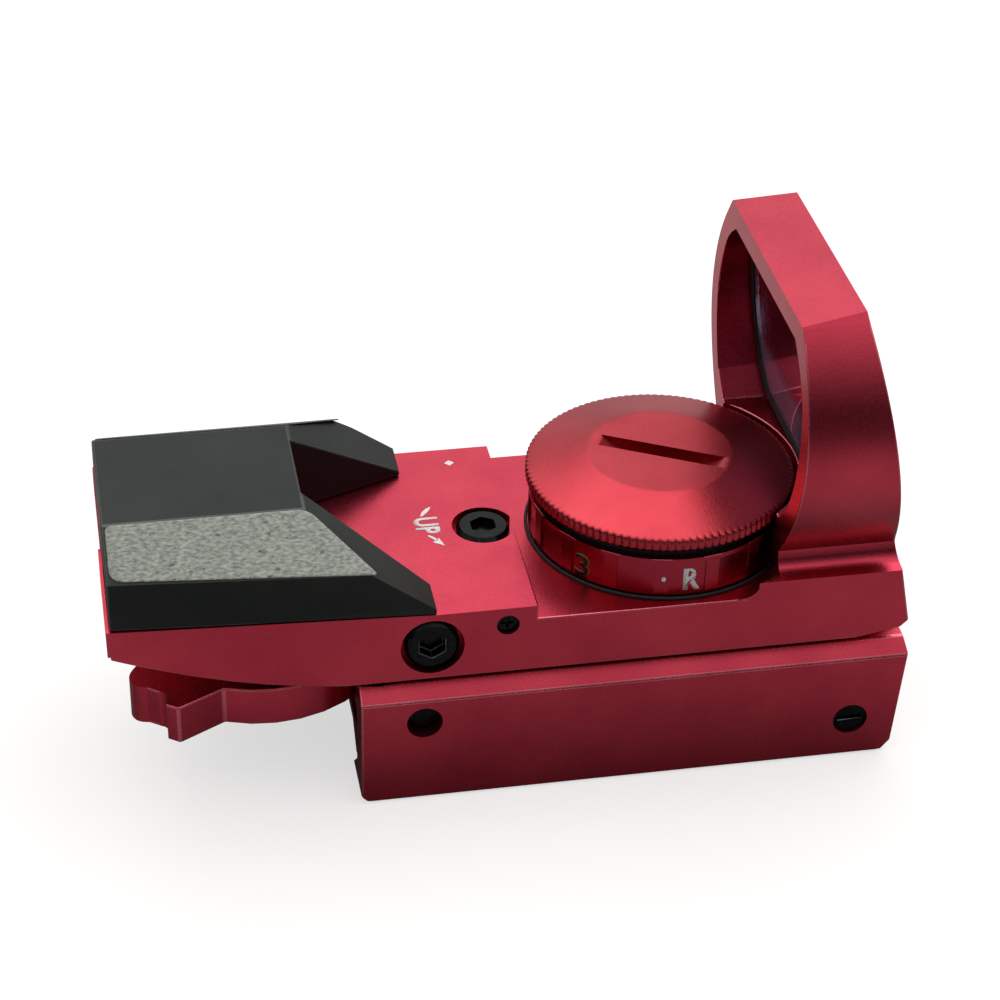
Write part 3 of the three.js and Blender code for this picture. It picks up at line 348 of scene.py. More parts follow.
def crossed_corners(mesh, width):
    """The points where a face's outline crosses itself after its edges were rounded.

    Such a face's triangles cover more than the area inside its outline, by KNOT_AREA or more.
    Its crossed points are less than KNOT_WIDTHS from a side of the face that they don't end."""
    mesh.calc_loop_triangles()
    corners = [vertex.co.copy() for vertex in mesh.vertices]
    covered = np.zeros(len(mesh.polygons))
    for triangle in mesh.loop_triangles:
        covered[triangle.polygon_index] += triangle.area
    points = []
    for face in mesh.polygons:
        ring = [corners[i] for i in face.vertices]
        steps = range(len(ring))
        inside = sum((ring[i - 1].cross(ring[i]) for i in steps), Vector()).dot(face.normal) / 2
        if covered[face.index] - inside < KNOT_AREA:
            continue
        for i in steps:
            for j in steps:
                if i in (j, (j - 1) % len(ring)):
                    continue
                near, share = intersect_point_line(ring[i], ring[j - 1], ring[j])
                near = ring[j - 1].lerp(ring[j], min(max(share, 0), 1))
                if (near - ring[i]).length < KNOT_WIDTHS * width:
                    points.append(ring[i])
    return points


MERGE_DISTANCE = 2e-6
JOIN_ANGLE = math.radians(1)


def eased_copy(node, width_mm, material, edge_material, narrow_mm=0.8):
    """A copy of a CAD node with its hard edges rounded to a radius of about width_mm.

    The copy's doubled corners are merged and its flat faces joined. Every edge that turns by
    more than the sharp angle and has room gets a round of that width in the edge material.
    A round within KNOT_CLEAR_WIDTHS of a crossed corner is taken back, over a few rounds."""
    width = width_mm * MM
    work = bmesh.new()
    work.from_mesh(frame["nodes"][node].data)
    bmesh.ops.remove_doubles(work, verts=work.verts, dist=MERGE_DISTANCE)
    bmesh.ops.dissolve_limit(work, angle_limit=JOIN_ANGLE, verts=work.verts, edges=work.edges)
    for face in work.faces:
        face.smooth = True
    rounded = work.edges.layers.float.new("bevel_weight_edge")
    for edge in work.edges:
        turns = edge.calc_face_angle(0) > SHARP_ANGLE
        if turns and has_room(edge, width, narrow_mm * MM):
            edge[rounded] = 1.0
    flat = bpy.data.meshes.new(node + "_flat")
    work.to_mesh(flat)
    work.free()
    flat.materials.append(material)
    flat.materials.append(edge_material)
    piece = bpy.data.objects.new(node + "_eased", flat)
    seat(piece, node)
    rounding = piece.modifiers.new("rounded_edges", "BEVEL")
    rounding.material = 1
    rounding.width = width
    rounding.segments = 2
    rounding.limit_method = "WEIGHT"
    rounding.use_clamp_overlap = False
    rounding.miter_outer = "MITER_SHARP"
    weights = flat.attributes["bevel_weight_edge"].data
    eased = None
    for _ in range(KNOT_ROUNDS):
        if eased:
            bpy.data.meshes.remove(eased)
        eased = bpy.data.meshes.new_from_object(
            piece.evaluated_get(bpy.context.evaluated_depsgraph_get()))
        knots = crossed_corners(eased, width)
        if not knots:
            break
        for edge in flat.edges:
            ends = [flat.vertices[i].co for i in edge.vertices]
            if any((end - knot).length < KNOT_CLEAR_WIDTHS * width
                   for end in ends for knot in knots):
                weights[edge.index].value = 0
        flat.update()
        piece.update_tag()
    piece.modifiers.clear()
    piece.data = eased
    bpy.data.meshes.remove(flat)
    eased.name = node + "_eased"
    shade_corners(eased)


def surface_material(name):
    """A new material with a Principled shader, its tree, and the object's own coordinates."""
    material = bpy.data.materials.new(name)
    material.use_nodes = True
    tree = material.node_tree
    tree.nodes.clear()
    shader = add_node(tree, "ShaderNodeBsdfPrincipled")
    add_node(tree, "ShaderNodeOutputMaterial", {"Surface": shader.outputs[0]})
    place = add_node(tree, "ShaderNodeTexCoord")
    return material, tree, shader, place.outputs["Object"]


def grain(tree, place, size_mm, detail=2.0, stretch=(1, 1, 1)):
    """Cloudy noise from 0 to 1 whose blobs are size_mm wide, times stretch on each axis."""
    scaled = add_node(tree, "ShaderNodeMapping", {"Vector": place},
                      Scale=[1 / (size_mm * MM * s) for s in stretch])
    noise = add_node(tree, "ShaderNodeTexNoise", {"Vector": scaled.outputs[0]},
                     Scale=1.0, Detail=detail)
    return noise.outputs[0]


def ranged(tree, value, low, high, from_low=0.3, from_high=0.7):
    """The output of a Map Range that carries noise's middle range to low and high."""
    node = add_node(tree, "ShaderNodeMapRange", {"Value": value},
                    From_Min=from_low, From_Max=from_high, To_Min=low, To_Max=high)
    return node.outputs["Result"]


def mixed(tree, factor, first, second):
    """A colour mixed from one to another by a factor; a colour is a hex value or a socket."""
    node = add_node(tree, "ShaderNodeMix", {0: factor}, data_type="RGBA")
    for socket, colour in ((node.inputs[6], first), (node.inputs[7], second)):
        if isinstance(colour, str):
            socket.default_value = srgb(colour)
        else:
            tree.links.new(colour, socket)
    return node.outputs[2]


def bumped(tree, height, depth_mm, strength=1.0):
    """A normal bumped by a height from 0 to 1 over depth_mm."""
    node = add_node(tree, "ShaderNodeBump", {"Height": height},
                    Distance=depth_mm * MM, Strength=strength)
    return node.outputs[0]


def anodised(name, dark, light, roughness, grain_depth_mm):
    """Bead-blasted, dyed and sealed aluminium: a metal whose dye varies a little in clouds.

    Blasting leaves dimples of about 0.1 mm, drawn at 0.16 mm so that they show."""
    material, tree, shader, place = surface_material(name)
    blast = grain(tree, place, 0.16, 2.0)
    clouds = grain(tree, place, 9.0, 3.0)
    tone = add_node(tree, "ShaderNodeMath", {0: ranged(tree, clouds, 0.0, 0.6),
                                             1: ranged(tree, blast, 0.0, 0.4)}, operation="ADD")
    dye = mixed(tree, tone.outputs[0], dark, light)
    tree.links.new(dye, shader.inputs["Base Color"])
    tree.links.new(ranged(tree, blast, roughness - 0.05, roughness + 0.06),
                   shader.inputs["Roughness"])
    tree.links.new(bumped(tree, blast, grain_depth_mm), shader.inputs["Normal"])
    shader.inputs["Metallic"].default_value = 1.0
    return material


HOUSING_EDGE_MM = 0.16
red_anodised = anodised("red_anodised_blasted", "#AE3247", "#CC4453", 0.31, 0.016)
# the dye is thinner and smoother on the edges, where handling has rubbed it; the lighter tone on
# every rounded edge is also a painted highlight
red_edge_wear_and_highlight = anodised("red_anodised_edge_wear_and_highlight", "#C04C5E", "#E07C88", 0.26, 0.012)
eased_copy("housing", HOUSING_EDGE_MM, red_anodised, red_edge_wear_and_highlight)

DIAL_X, POCKET_Z = 57.65, 6.24
POCKET_R = 16.2
SIDE_Y = 14.52
FILLET_WIDE, FILLET_HIGH, FILLET_BACK = 0.85, 1.5, 0.05


def pocket_fillet(steps=64, arc=9):
    """The cutter's rounded corner at the foot of the pocket's round wall, as a closed sweep.

    The section is a quarter of an ellipse, FILLET_WIDE by FILLET_HIGH, hollow side up, with a
    corner behind it. A point at radius r turns from -asin(SIDE_Y / r) to +asin(SIDE_Y / r)
    round the dial's axis, so that both ends lie on the housing's sides."""
    a = np.linspace(-math.pi / 2, 0, arc)
    radius = POCKET_R - FILLET_WIDE + FILLET_WIDE * np.cos(a)
    height = POCKET_Z + FILLET_HIGH + FILLET_HIGH * np.sin(a)
    radius = np.append(radius, [POCKET_R + FILLET_BACK, POCKET_R + FILLET_BACK, radius[0]])
    height = np.append(height, [height[-1], POCKET_Z - FILLET_BACK, POCKET_Z - FILLET_BACK])
    turn = np.linspace(-1, 1, steps)[:, None] * np.arcsin(SIDE_Y / radius)
    sweep = np.stack([DIAL_X + radius * np.cos(turn), radius * np.sin(turn),
                      np.broadcast_to(height, turn.shape)], -1)
    corner = sweep[[0, -1], arc + 1][:, None]
    ends = np.broadcast_to(corner, (2, sweep.shape[1], 3))
    return np.concatenate([ends[:1], sweep, ends[1:]])


SAME_POINT = 1e-7


def grid_mesh(name, points):
    """A mesh from a grid of points (rows, columns, 3), joined round its columns.

    A row or column that falls on one point is merged there, which closes the ends."""
    rows, columns = points.shape[:2]
    number = np.arange(rows * columns).reshape(rows, columns)
    right = np.roll(number, -1, 1)
    quads = np.stack([number[:-1], right[:-1], right[1:], number[1:]], -1).reshape(-1, 4)
    mesh = bpy.data.meshes.new(name)
    mesh.from_pydata(points.reshape(-1, 3).tolist(), [], quads.tolist())
    work = bmesh.new()
    work.from_mesh(mesh)
    bmesh.ops.remove_doubles(work, verts=work.verts, dist=SAME_POINT)
    bmesh.ops.recalc_face_normals(work, faces=work.faces)
    work.to_mesh(mesh)
    work.free()
    mesh.shade_smooth()
    return mesh


fillet_mesh = grid_mesh("pocket_fillet", pocket_fillet() * MM + np.array(on_housing(0, 0, 0)))
fillet_mesh.set_sharp_from_angle(angle=SHARP_ANGLE)
fillet_mesh.materials.append(red_anodised)
fillet = bpy.data.objects.new("pocket_fillet", fillet_mesh)
scene.collection.objects.link(fillet)
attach(fillet, "housing")


# ---- marks on the deck ----
# Laser marks burnt through the dye to bare white metal: the raise direction beside the
# elevation screw, and a small square dot over its lock screw.

DECK_Z = 7.79
MARK_LIFT, MARK_THICK_MM = 0.005, 0.02
RAISE_X, RAISE_Y = 33.75, 0.7
DOT_X, DOT_Y = 37.9, 11.87
MARK_DEEPER = 0.82


def mark_material(name, colour, roughness=0.6):
    """A laser mark: matt, its tone broken by specks a little deeper than its colour."""
    material, tree, shader, place = surface_material(name)
    speck = grain(tree, place, 0.12, 2.0)
    parts = [int(int(colour[i:i + 2], 16) * MARK_DEEPER) for i in (1, 3, 5)]
    deeper = "#" + "".join(f"{part:02X}" for part in parts)
    tree.links.new(mixed(tree, ranged(tree, speck, 0.0, 1.0), deeper, colour),
                   shader.inputs["Base Color"])
    tree.links.new(ranged(tree, speck, roughness - 0.1, roughness + 0.1),
                   shader.inputs["Roughness"])
    return material


white_mark = mark_material("laser_mark_white", "#F2EDEA")


def flat_mark(name, faces, place, material, body):
    """Thin plates from outlines drawn in millimetres, laid on a plane given by a matrix.

    Each outline is a loop of (across, up) points and becomes a plate MARK_THICK_MM thick."""
    work = bmesh.new()
    for loop in faces:
        low = [work.verts.new((u * MM, v * MM, 0)) for u, v in loop]
        high = [work.verts.new((u * MM, v * MM, MARK_THICK_MM * MM)) for u, v in loop]
        work.faces.new(high)
        work.faces.new(low[::-1])
        for i in range(len(loop)):
            j = (i + 1) % len(loop)
            work.faces.new((low[i], low[j], high[j], high[i]))
    bmesh.ops.recalc_face_normals(work, faces=work.faces)
    mesh = bpy.data.meshes.new(name)
    work.to_mesh(mesh)
    work.free()
    mesh.transform(place)
    mesh.materials.append(material)
    mark = bpy.data.objects.new(name, mesh)
    scene.collection.objects.link(mark)
    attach(mark, body)


def lettered(name, text, height_mm, width_mm, place, material, body, weight=0.0):
    """A word as a thin plate, its capitals height_mm high and the whole width_mm wide.

    Its strokes are widened on each side by weight, a share of the letters' size."""
    font = bpy.data.curves.new(name, "FONT")
    font.body = text
    font.offset = weight
    font.align_x = "CENTER"
    shape = bpy.data.objects.new(name + "_curve", font)
    scene.collection.objects.link(shape)
    flat = bpy.data.meshes.new_from_object(
        shape.evaluated_get(bpy.context.evaluated_depsgraph_get()))
    bpy.data.objects.remove(shape)
    corners = np.empty(len(flat.vertices) * 3)
    flat.vertices.foreach_get("co", corners)
    corners = corners.reshape(-1, 3)
    low, high = corners.min(0), corners.max(0)
    corners = (corners - (low + high) / 2) * [
        width_mm * MM / (high[0] - low[0]), height_mm * MM / (high[1] - low[1]), 0]
    flat.vertices.foreach_set("co", corners.ravel())
    work = bmesh.new()
    work.from_mesh(flat)
    bmesh.ops.remove_doubles(work, verts=work.verts, dist=SAME_POINT)
    raised = bmesh.ops.extrude_face_region(work, geom=list(work.faces))
    for corner in (g for g in raised["geom"] if isinstance(g, bmesh.types.BMVert)):
        corner.co.z += MARK_THICK_MM * MM
    bmesh.ops.recalc_face_normals(work, faces=work.faces)
    work.to_mesh(flat)
    work.free()
    flat.name = name
    flat.transform(place)
    flat.materials.clear()
    flat.materials.append(material)
    word = bpy.data.objects.new(name, flat)
    scene.collection.objects.link(word)
    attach(word, body)


def laid(origin, across, up):
    """The matrix that lays a flat drawing at a place, with its across and up directions."""
    across, up = Vector(across).normalized(), Vector(up).normalized()
    turn = Matrix((across, up, across.cross(up))).transposed().to_4x4()
    return Matrix.Translation(Vector(origin)) @ turn


def tapered_stroke(points, widths):
    """A loop round a line of (across, up) points, as wide at each point as widths says."""
    line = np.array(points, float)
    along = np.gradient(line, axis=0)
    along /= np.linalg.norm(along, axis=1)[:, None]
    side = np.stack([-along[:, 1], along[:, 0]], 1) * np.array(widths)[:, None] / 2
    return [tuple(p) for p in np.vstack([line + side, (line - side)[::-1]])]


deck_place = laid(on_housing(RAISE_X, RAISE_Y, DECK_Z + MARK_LIFT), (0, -1, 0), (1, 0, 0))
lettered("raise_word", "UP", 2.5, 2.9, deck_place, white_mark, "housing", 0.03)
# the arrow's tail before the word, its neck after it, and its head
turn_marks = [
    tapered_stroke([(-3.3, 0.85), (-2.9, 0.5), (-2.4, 0.1), (-1.75, -0.35)],
                   [0.1, 0.42, 0.5, 0.2]),
    tapered_stroke([(1.75, -0.15), (2.2, 0.25), (2.7, 0.62)], [0.18, 0.3, 0.3]),
    [(2.35, 0.85), (3.75, 1.25), (3.0, 0.15)]]
flat_mark("turn_arrow", turn_marks, deck_place, white_mark, "housing")
dot_place = laid(on_housing(DOT_X, DOT_Y, DECK_Z + MARK_LIFT), (1, 0, 0), (0, 1, 0))
flat_mark("deck_dot", [[(-0.55, 0), (0, -0.5), (0.55, 0), (0, 0.5)]], dot_place, white_mark,
          "housing")


# ---- emitter cover ----
# A separate black anodised aluminium cover over the emitter, open at the front between its
# two arms. Each shoulder carries a bonded grip pad of grey rubber with rounded corners.

black_anodised = anodised("black_anodised_blasted", "#303331", "#3A3D3B", 0.55, 0.008)
# the rounded edges are lighter: partly rubbed dye, partly a painted highlight on every one
black_edge_wear_and_highlight = anodised("black_anodised_edge_wear_and_highlight", "#3C3F3D", "#545754", 0.45, 0.006)
COVER_EDGE_MM, COVER_NARROW_MM = 0.2, 0.65
eased_copy("emitter_cover", COVER_EDGE_MM, black_anodised, black_edge_wear_and_highlight,
           COVER_NARROW_MM)

COVER_REAR_X, COVER_LENGTH = 0.8, 32.3
ROOF_HALF, ROOF_Z = 7.6, 16.9
SHOULDER_REAR, SHOULDER_FRONT = (12.9, 13.55), (14.4, 12.7)
FACET_WIDTH = 6.9
PAD_THICK_MM = 0.14
PAD_CORNERS = [(1.15, 0.14), (20.6, 0.1), (26.7, 6.85), (1.15, 6.55)]
PAD_ROUNDS = [0.7, 1.1, 0.5, 1.5]
# from the pad's edge to its middle: the share of the way out, and of the thickness
PAD_OUT = np.array([1.0, 1.0, 0.99, 0.965, 0.92, 0.8, 0.6, 0.35, 0.0])
PAD_RISE = np.array([-0.1, 0.55, 0.85, 0.97, 1.0, 1.0, 1.0, 1.0, 1.0])


def shoulder_point(x, share, side, rise):
    """A place on a shoulder facet: x along the cover, share from the roof's edge to the
    shoulder's edge, and rise above the facet. The facet is the ruled surface between them."""
    t = (x - COVER_REAR_X) / (COVER_LENGTH - COVER_REAR_X)
    low_y = SHOULDER_REAR[0] + (SHOULDER_FRONT[0] - SHOULDER_REAR[0]) * t
    low_z = SHOULDER_REAR[1] + (SHOULDER_FRONT[1] - SHOULDER_REAR[1]) * t
    y = ROOF_HALF + (low_y - ROOF_HALF) * share
    z = ROOF_Z + (low_z - ROOF_Z) * share
    run = np.stack([ROOF_Z - low_z, low_y - ROOF_HALF], -1)
    run = run / np.linalg.norm(run, axis=-1)[..., None]
    return np.stack([x, side * (y + run[..., 0] * rise), z + run[..., 1] * rise], -1)


def rounded_outline(corners, radii, steps=8):
    """Points round a polygon whose corners are rounded by quadratic curves of the radii."""
    corners = np.array(corners, float)
    before, after = np.roll(corners, 1, 0), np.roll(corners, -1, 0)
    t = np.linspace(0, 1, steps)[:, None]
    rounds = []
    for corner, last, following, radius in zip(corners, before, after, radii):
        start = corner + (last - corner) / np.linalg.norm(last - corner) * radius
        end = corner + (following - corner) / np.linalg.norm(following - corner) * radius
        rounds.append((1 - t) ** 2 * start + 2 * t * (1 - t) * corner + t ** 2 * end)
    return np.vstack(rounds)


def grip_rubber(name, dark, light, speck):
    """Grey grip rubber with a pressed grain of short streaks and a few dark pits."""
    material, tree, shader, place = surface_material(name)
    streaks = grain(tree, place, 0.26, 4.0, (2.0, 1, 1))
    specks = grain(tree, place, 0.5, 2.0, (1.8, 1, 1))
    tone = mixed(tree, ranged(tree, streaks, 0.0, 1.0), dark, light)
    tone = mixed(tree, ranged(tree, specks, 0.0, 1.0, 0.62, 0.76), tone, speck)
    tree.links.new(tone, shader.inputs["Base Color"])
    tree.links.new(ranged(tree, streaks, 0.5, 0.7), shader.inputs["Roughness"])
    tree.links.new(bumped(tree, streaks, 0.08, 0.6), shader.inputs["Normal"])
    return material


# the near pad is painted pale grey as painted light, and the far one darker grey as painted shade
near_pad_painted_light = grip_rubber("grip_rubber_painted_light", "#686C64", "#ACAFA3", "#4E5049")
far_pad_painted_shade = grip_rubber("grip_rubber_painted_shade", "#3E413D", "#5E625C", "#2C2E2B")
for side, label, rubber in ((-1, "near", near_pad_painted_light), (1, "far", far_pad_painted_shade)):
    edge_loop = rounded_outline(PAD_CORNERS, PAD_ROUNDS) / (1, FACET_WIDTH)
    middle = edge_loop.mean(0)
    spread = middle + PAD_OUT[:, None, None] * (edge_loop - middle)
    local = shoulder_point(spread[..., 0], spread[..., 1], side, PAD_RISE[:, None] * PAD_THICK_MM)
    underside = np.broadcast_to(local[0].mean(0), local[:1].shape)
    local = np.concatenate([underside, local])
    pad_mesh = grid_mesh("grip_pad_" + label, local * MM + np.array(on_housing(0, 0, 0)))
    pad_mesh.materials.append(rubber)
    pad = bpy.data.objects.new("grip_pad_" + label, pad_mesh)
    scene.collection.objects.link(pad)
    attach(pad, "housing")


# ---- black steel screws ----
# Small machine screws in steel, blackened in hot oxide salts and oiled, so glossy black.

def oxide_steel(name, dark, light, roughness):
    """Hot-blackened steel: a dark metal with an oily sheen."""
    material, tree, shader, place = surface_material(name)
    oil = grain(tree, place, 0.5, 3.0)
    fine = grain(tree, place, 0.08, 2.0)
    tree.links.new(mixed(tree, ranged(tree, oil, 0.0, 1.0), dark, light),
                   shader.inputs["Base Color"])
    tree.links.new(ranged(tree, oil, roughness - 0.05, roughness + 0.08),
                   shader.inputs["Roughness"])
    tree.links.new(bumped(tree, fine, 0.004), shader.inputs["Normal"])
    shader.inputs["Metallic"].default_value = 0.88
    return material


black_steel = oxide_steel("black_oxide_steel", "#0C0D0E", "#1A1C1E", 0.16)
# the edges have rubbed through to grey steel; their much lighter grey on every rounded edge is
# also a painted highlight
steel_edge_wear_and_highlight = oxide_steel("black_oxide_edge_wear_and_highlight", "#3C3F42", "#75787B", 0.2)
SCREW_EDGE_MM, SCREW_NARROW_MM = 0.1, 0.5
for node in ("elevation_screw", "windage_screw", "elevation_lock_screw", "cross_pin", "guide_pin",
             "clamp_screw_rear_near", "clamp_screw_rear_far", "clamp_screw_front_near",
             "clamp_screw_front_far", "lever_screw", "link_pin", "cover_screw_rear_near",
             "cover_screw_rear_far", "cover_screw_front_near", "cover_screw_front_far"):
    eased_copy(node, SCREW_EDGE_MM, black_steel, steel_edge_wear_and_highlight, SCREW_NARROW_MM)


# ---- window and seal ----
# A flat glass window in a moulded black rubber seal. Its coated face mirrors the dot's red
# and tints the rest purple-grey. Towards the foot the glass is painted less clear and purple-grey,
# as a painted reflection.

PAINTED_REFLECTION_TOP_Z, PAINTED_REFLECTION_FOOT_Z = 20.8, 18.8
coated_glass, tree, shader, place = surface_material("coated_window_glass")
haze = grain(tree, place, 3.0, 2.0)
up_glass = add_node(tree, "ShaderNodeSeparateXYZ", {0: place}).outputs["Z"]
painted_reflection_top, painted_reflection_foot = on_housing(0, 0, PAINTED_REFLECTION_TOP_Z).z, on_housing(0, 0, PAINTED_REFLECTION_FOOT_Z).z
# the glass fades from clear to a quarter clear towards its foot, showing its purple-grey colour:
# painted reflection
painted_reflection_clearness = ranged(tree, up_glass, 1.0, 0.25, painted_reflection_top, painted_reflection_foot)
tree.links.new(mixed(tree, ranged(tree, haze, 0.0, 1.0), "#655C74", "#706680"),
               shader.inputs["Base Color"])
tree.links.new(ranged(tree, haze, 0.02, 0.05), shader.inputs["Roughness"])
tree.links.new(painted_reflection_clearness, shader.inputs["Transmission Weight"])
shader.inputs["IOR"].default_value = 1.4
shader.inputs["Specular Tint"].default_value = srgb("#B9A8D8")
frame["nodes"]["window_glass"].data.materials.clear()
frame["nodes"]["window_glass"].data.materials.append(coated_glass)

black_rubber, tree, shader, place = surface_material("moulded_black_rubber")
skin = grain(tree, place, 0.2, 2.0)
tree.links.new(mixed(tree, ranged(tree, skin, 0.0, 1.0), "#131314", "#1C1C1E"),
               shader.inputs["Base Color"])
tree.links.new(ranged(tree, skin, 0.6, 0.8), shader.inputs["Roughness"])
tree.links.new(bumped(tree, skin, 0.02), shader.inputs["Normal"])


# ---- parts inside the housing ----
# Brass arm, shoe and contacts as cut, springs and cell in bright steel and nickel, green
# solder-masked boards, moulded nylon carriage and cup, and the amber film lead.

def plain_metal(name, dark, light, roughness, scratch_mm):
    """A bright metal with fine scratches of scratch_mm spacing, long in one direction."""
    material, tree, shader, place = surface_material(name)
    lines = grain(tree, place, scratch_mm, 3.0, (8, 1, 1))
    tree.links.new(mixed(tree, ranged(tree, lines, 0.0, 1.0), dark, light),
                   shader.inputs["Base Color"])
    tree.links.new(ranged(tree, lines, roughness - 0.06, roughness + 0.08),
                   shader.inputs["Roughness"])
    tree.links.new(bumped(tree, lines, 0.004), shader.inputs["Normal"])
    shader.inputs["Metallic"].default_value = 1.0
    return material


def plain_moulding(name, dark, light, roughness, texture_mm):
    """A moulded or coated surface with a fine texture of texture_mm."""
    material, tree, shader, place = surface_material(name)
    texture = grain(tree, place, texture_mm, 2.0)
    tree.links.new(mixed(tree, ranged(tree, texture, 0.0, 1.0), dark, light),
                   shader.inputs["Base Color"])
    tree.links.new(ranged(tree, texture, roughness - 0.06, roughness + 0.08),
                   shader.inputs["Roughness"])
    tree.links.new(bumped(tree, texture, 0.01), shader.inputs["Normal"])
    return material


def dressed(names, material):
    """Gives CAD nodes a material in place of the one they came with."""
    for name in names:
        mesh = frame["nodes"][name].data
        mesh.materials.clear()
        mesh.materials.append(material)


dressed(["elevation_arm", "windage_shoe", "switch_wiper", "cell_contact", "lever_bush"],
        plain_metal("brass_as_cut", "#B8923E", "#D9B766", 0.34, 0.12))
dressed(["lift_spring", "side_spring", "detent_leaf", "cup_screw_near", "cup_screw_far",
         "jaw_spring_rear", "jaw_spring_front", "lever_washer", "jaw_link"],
        plain_metal("bright_spring_steel", "#A6A8AB", "#C6C8CA", 0.28, 0.1))
dressed(["battery_cell"], plain_metal("nickel_plated_steel", "#B9B8B4", "#D4D3CF", 0.24, 0.15))
dressed(["led_board", "switch_board"],
        plain_moulding("green_solder_mask", "#1B5A38", "#23704A", 0.4, 0.4))
dressed(["emitter_carriage", "led_emitter", "battery_cup"],
        plain_moulding("moulded_black_nylon", "#1A1B1C", "#242526", 0.5, 0.15))
dressed(["emitter_lead"], plain_moulding("amber_film", "#9A5A1C", "#B87428", 0.35, 0.6))
dressed(["cap_seal", "window_seal"], black_rubber)


# ---- dial: number ring ----
# The turning ring of the brightness switch: red anodised, with sixteen milled pads round it.
# Its index is a white dot on a rib, its settings are a white letter and a dark number.

RING_R, PAD_DEPTH = 13.3, 0.35
RING_MIDDLE_Z, NUMBER_Z, INDEX_Z = 8.2, 7.95, 8.5
NUMBER_ANGLE, INDEX_ANGLE = -45, -10.2
RING_EDGE_MM, RING_NARROW_MM = 0.08, 0.4
# the ring's red is darker than the housing's, a painted shade for its place under the cap's
# overhang
ring_red_painted_shade = anodised("red_anodised_milled_painted_shade", "#96283A", "#AA3442", 0.3, 0.006)
eased_copy("number_ring", RING_EDGE_MM, ring_red_painted_shade, red_edge_wear_and_highlight, RING_NARROW_MM)


def round_dial(angle, radius, z, across=0.0):
    """The matrix of a mark on the dial's wall, angle in degrees from the near side, and
    across millimetres to its right."""
    a = math.radians(angle)
    place = on_housing(DIAL_X + radius * math.sin(a) + across * math.cos(a),
                       -radius * math.cos(a) + across * math.sin(a), z)
    return laid(place, (math.cos(a), math.sin(a), 0), (0, 0, 1))


PAD_R = RING_R - PAD_DEPTH + MARK_LIFT
lettered("setting_letter", "R", 2.6, 1.75, round_dial(0, PAD_R, RING_MIDDLE_Z, 0.55), white_mark,
         "number_ring", 0.045)
gold_mark = mark_material("laser_mark_gold", "#8A7A48", 0.4)
dark_mark = mark_material("laser_mark_dark", "#20100F", 0.5)
# the number is burnt dark over a gold one that is a little larger, so that an edge shows
lettered("setting_number_edge", "3", 2.6, 1.7, round_dial(NUMBER_ANGLE, PAD_R, NUMBER_Z, -0.7),
         gold_mark, "number_ring", 0.03)
lettered("setting_number", "3", 2.45, 1.55,
         round_dial(NUMBER_ANGLE, PAD_R + MARK_THICK_MM, NUMBER_Z, -0.75),
         dark_mark, "number_ring", 0.015)
index_dot = [(0.22 * math.cos(a), 0.28 * math.sin(a)) for a in np.linspace(0, 2 * np.pi, 13)[:-1]]
flat_mark("index_dot", [index_dot], round_dial(INDEX_ANGLE, RING_R - 0.03, INDEX_Z), white_mark,
          "number_ring")


# ---- dial: painted shade bead ----
# A thin black half-round bead in the pocket, round the foot of the turning ring: a dark thing put
# there as painted shade for the gap at the ring's foot. Only its rounded top shows, as a dark
# line.

SHADE_BEAD_R, SHADE_BEAD_WIDE, SHADE_BEAD_HIGH, SHADE_BEAD_LIFT = 13.34, 0.34, 0.3, 0.02


def half_round_ring(steps=144, arc=9):
    """A half-round bead turned round the upright axis, flat side down.

    At angle a of the half circle the radius is R + wide * (1 - cos a) / 2 and the height is
    high * sin a above the pocket's floor. The last row is the first again, which closes it."""
    a = np.linspace(0, math.pi, arc)
    radius = SHADE_BEAD_R + SHADE_BEAD_WIDE * (1 - np.cos(a)) / 2
    height = POCKET_Z + SHADE_BEAD_LIFT + SHADE_BEAD_HIGH * np.maximum(np.sin(a), 0)
    radius, height = np.append(radius, radius[0])[:, None], np.append(height, height[0])[:, None]
    turn = np.linspace(0, 2 * np.pi, steps, endpoint=False)
    return np.stack([radius * np.cos(turn), radius * np.sin(turn),
                     np.broadcast_to(height, (arc + 1, steps))], -1)


shade_bead_mesh = grid_mesh("painted_shade_bead", half_round_ring() * MM)
shade_bead_mesh.transform(Matrix.Translation(on_housing(DIAL_X, 0, 0)))
shade_bead_mesh.materials.append(black_rubber)
painted_shade_bead = bpy.data.objects.new("painted_shade_bead", shade_bead_mesh)
scene.collection.objects.link(painted_shade_bead)
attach(painted_shade_bead, "housing")


# ---- dial: battery cap ----
# A turned red anodised cap with a flat top, a shallow cone and a knurled band, screwed down
# over the cell. Its coin slot is cut with a round cutter, so it is deepest at its middle.

CAP_R, CAP_EDGE_Z, CAP_TOP_Z = 13.72, 13.42, 15.08
CAP_FLAT_R, CAP_BAND = 7.5, 1.2
TEETH = 110
TOOTH_DEPTH = 0.18
SLOT_LENGTH, SLOT_WIDTH, SLOT_DEPTH, SLOT_TURN = 13.1, 2.0, 1.8, -27.6
SLOT_END = 0.4
cap_low, cap_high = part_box("battery_cap")
cap_foot_z = (cap_low.z - cap_high.z) / MM + CAP_TOP_Z
band_z = CAP_EDGE_Z - CAP_BAND

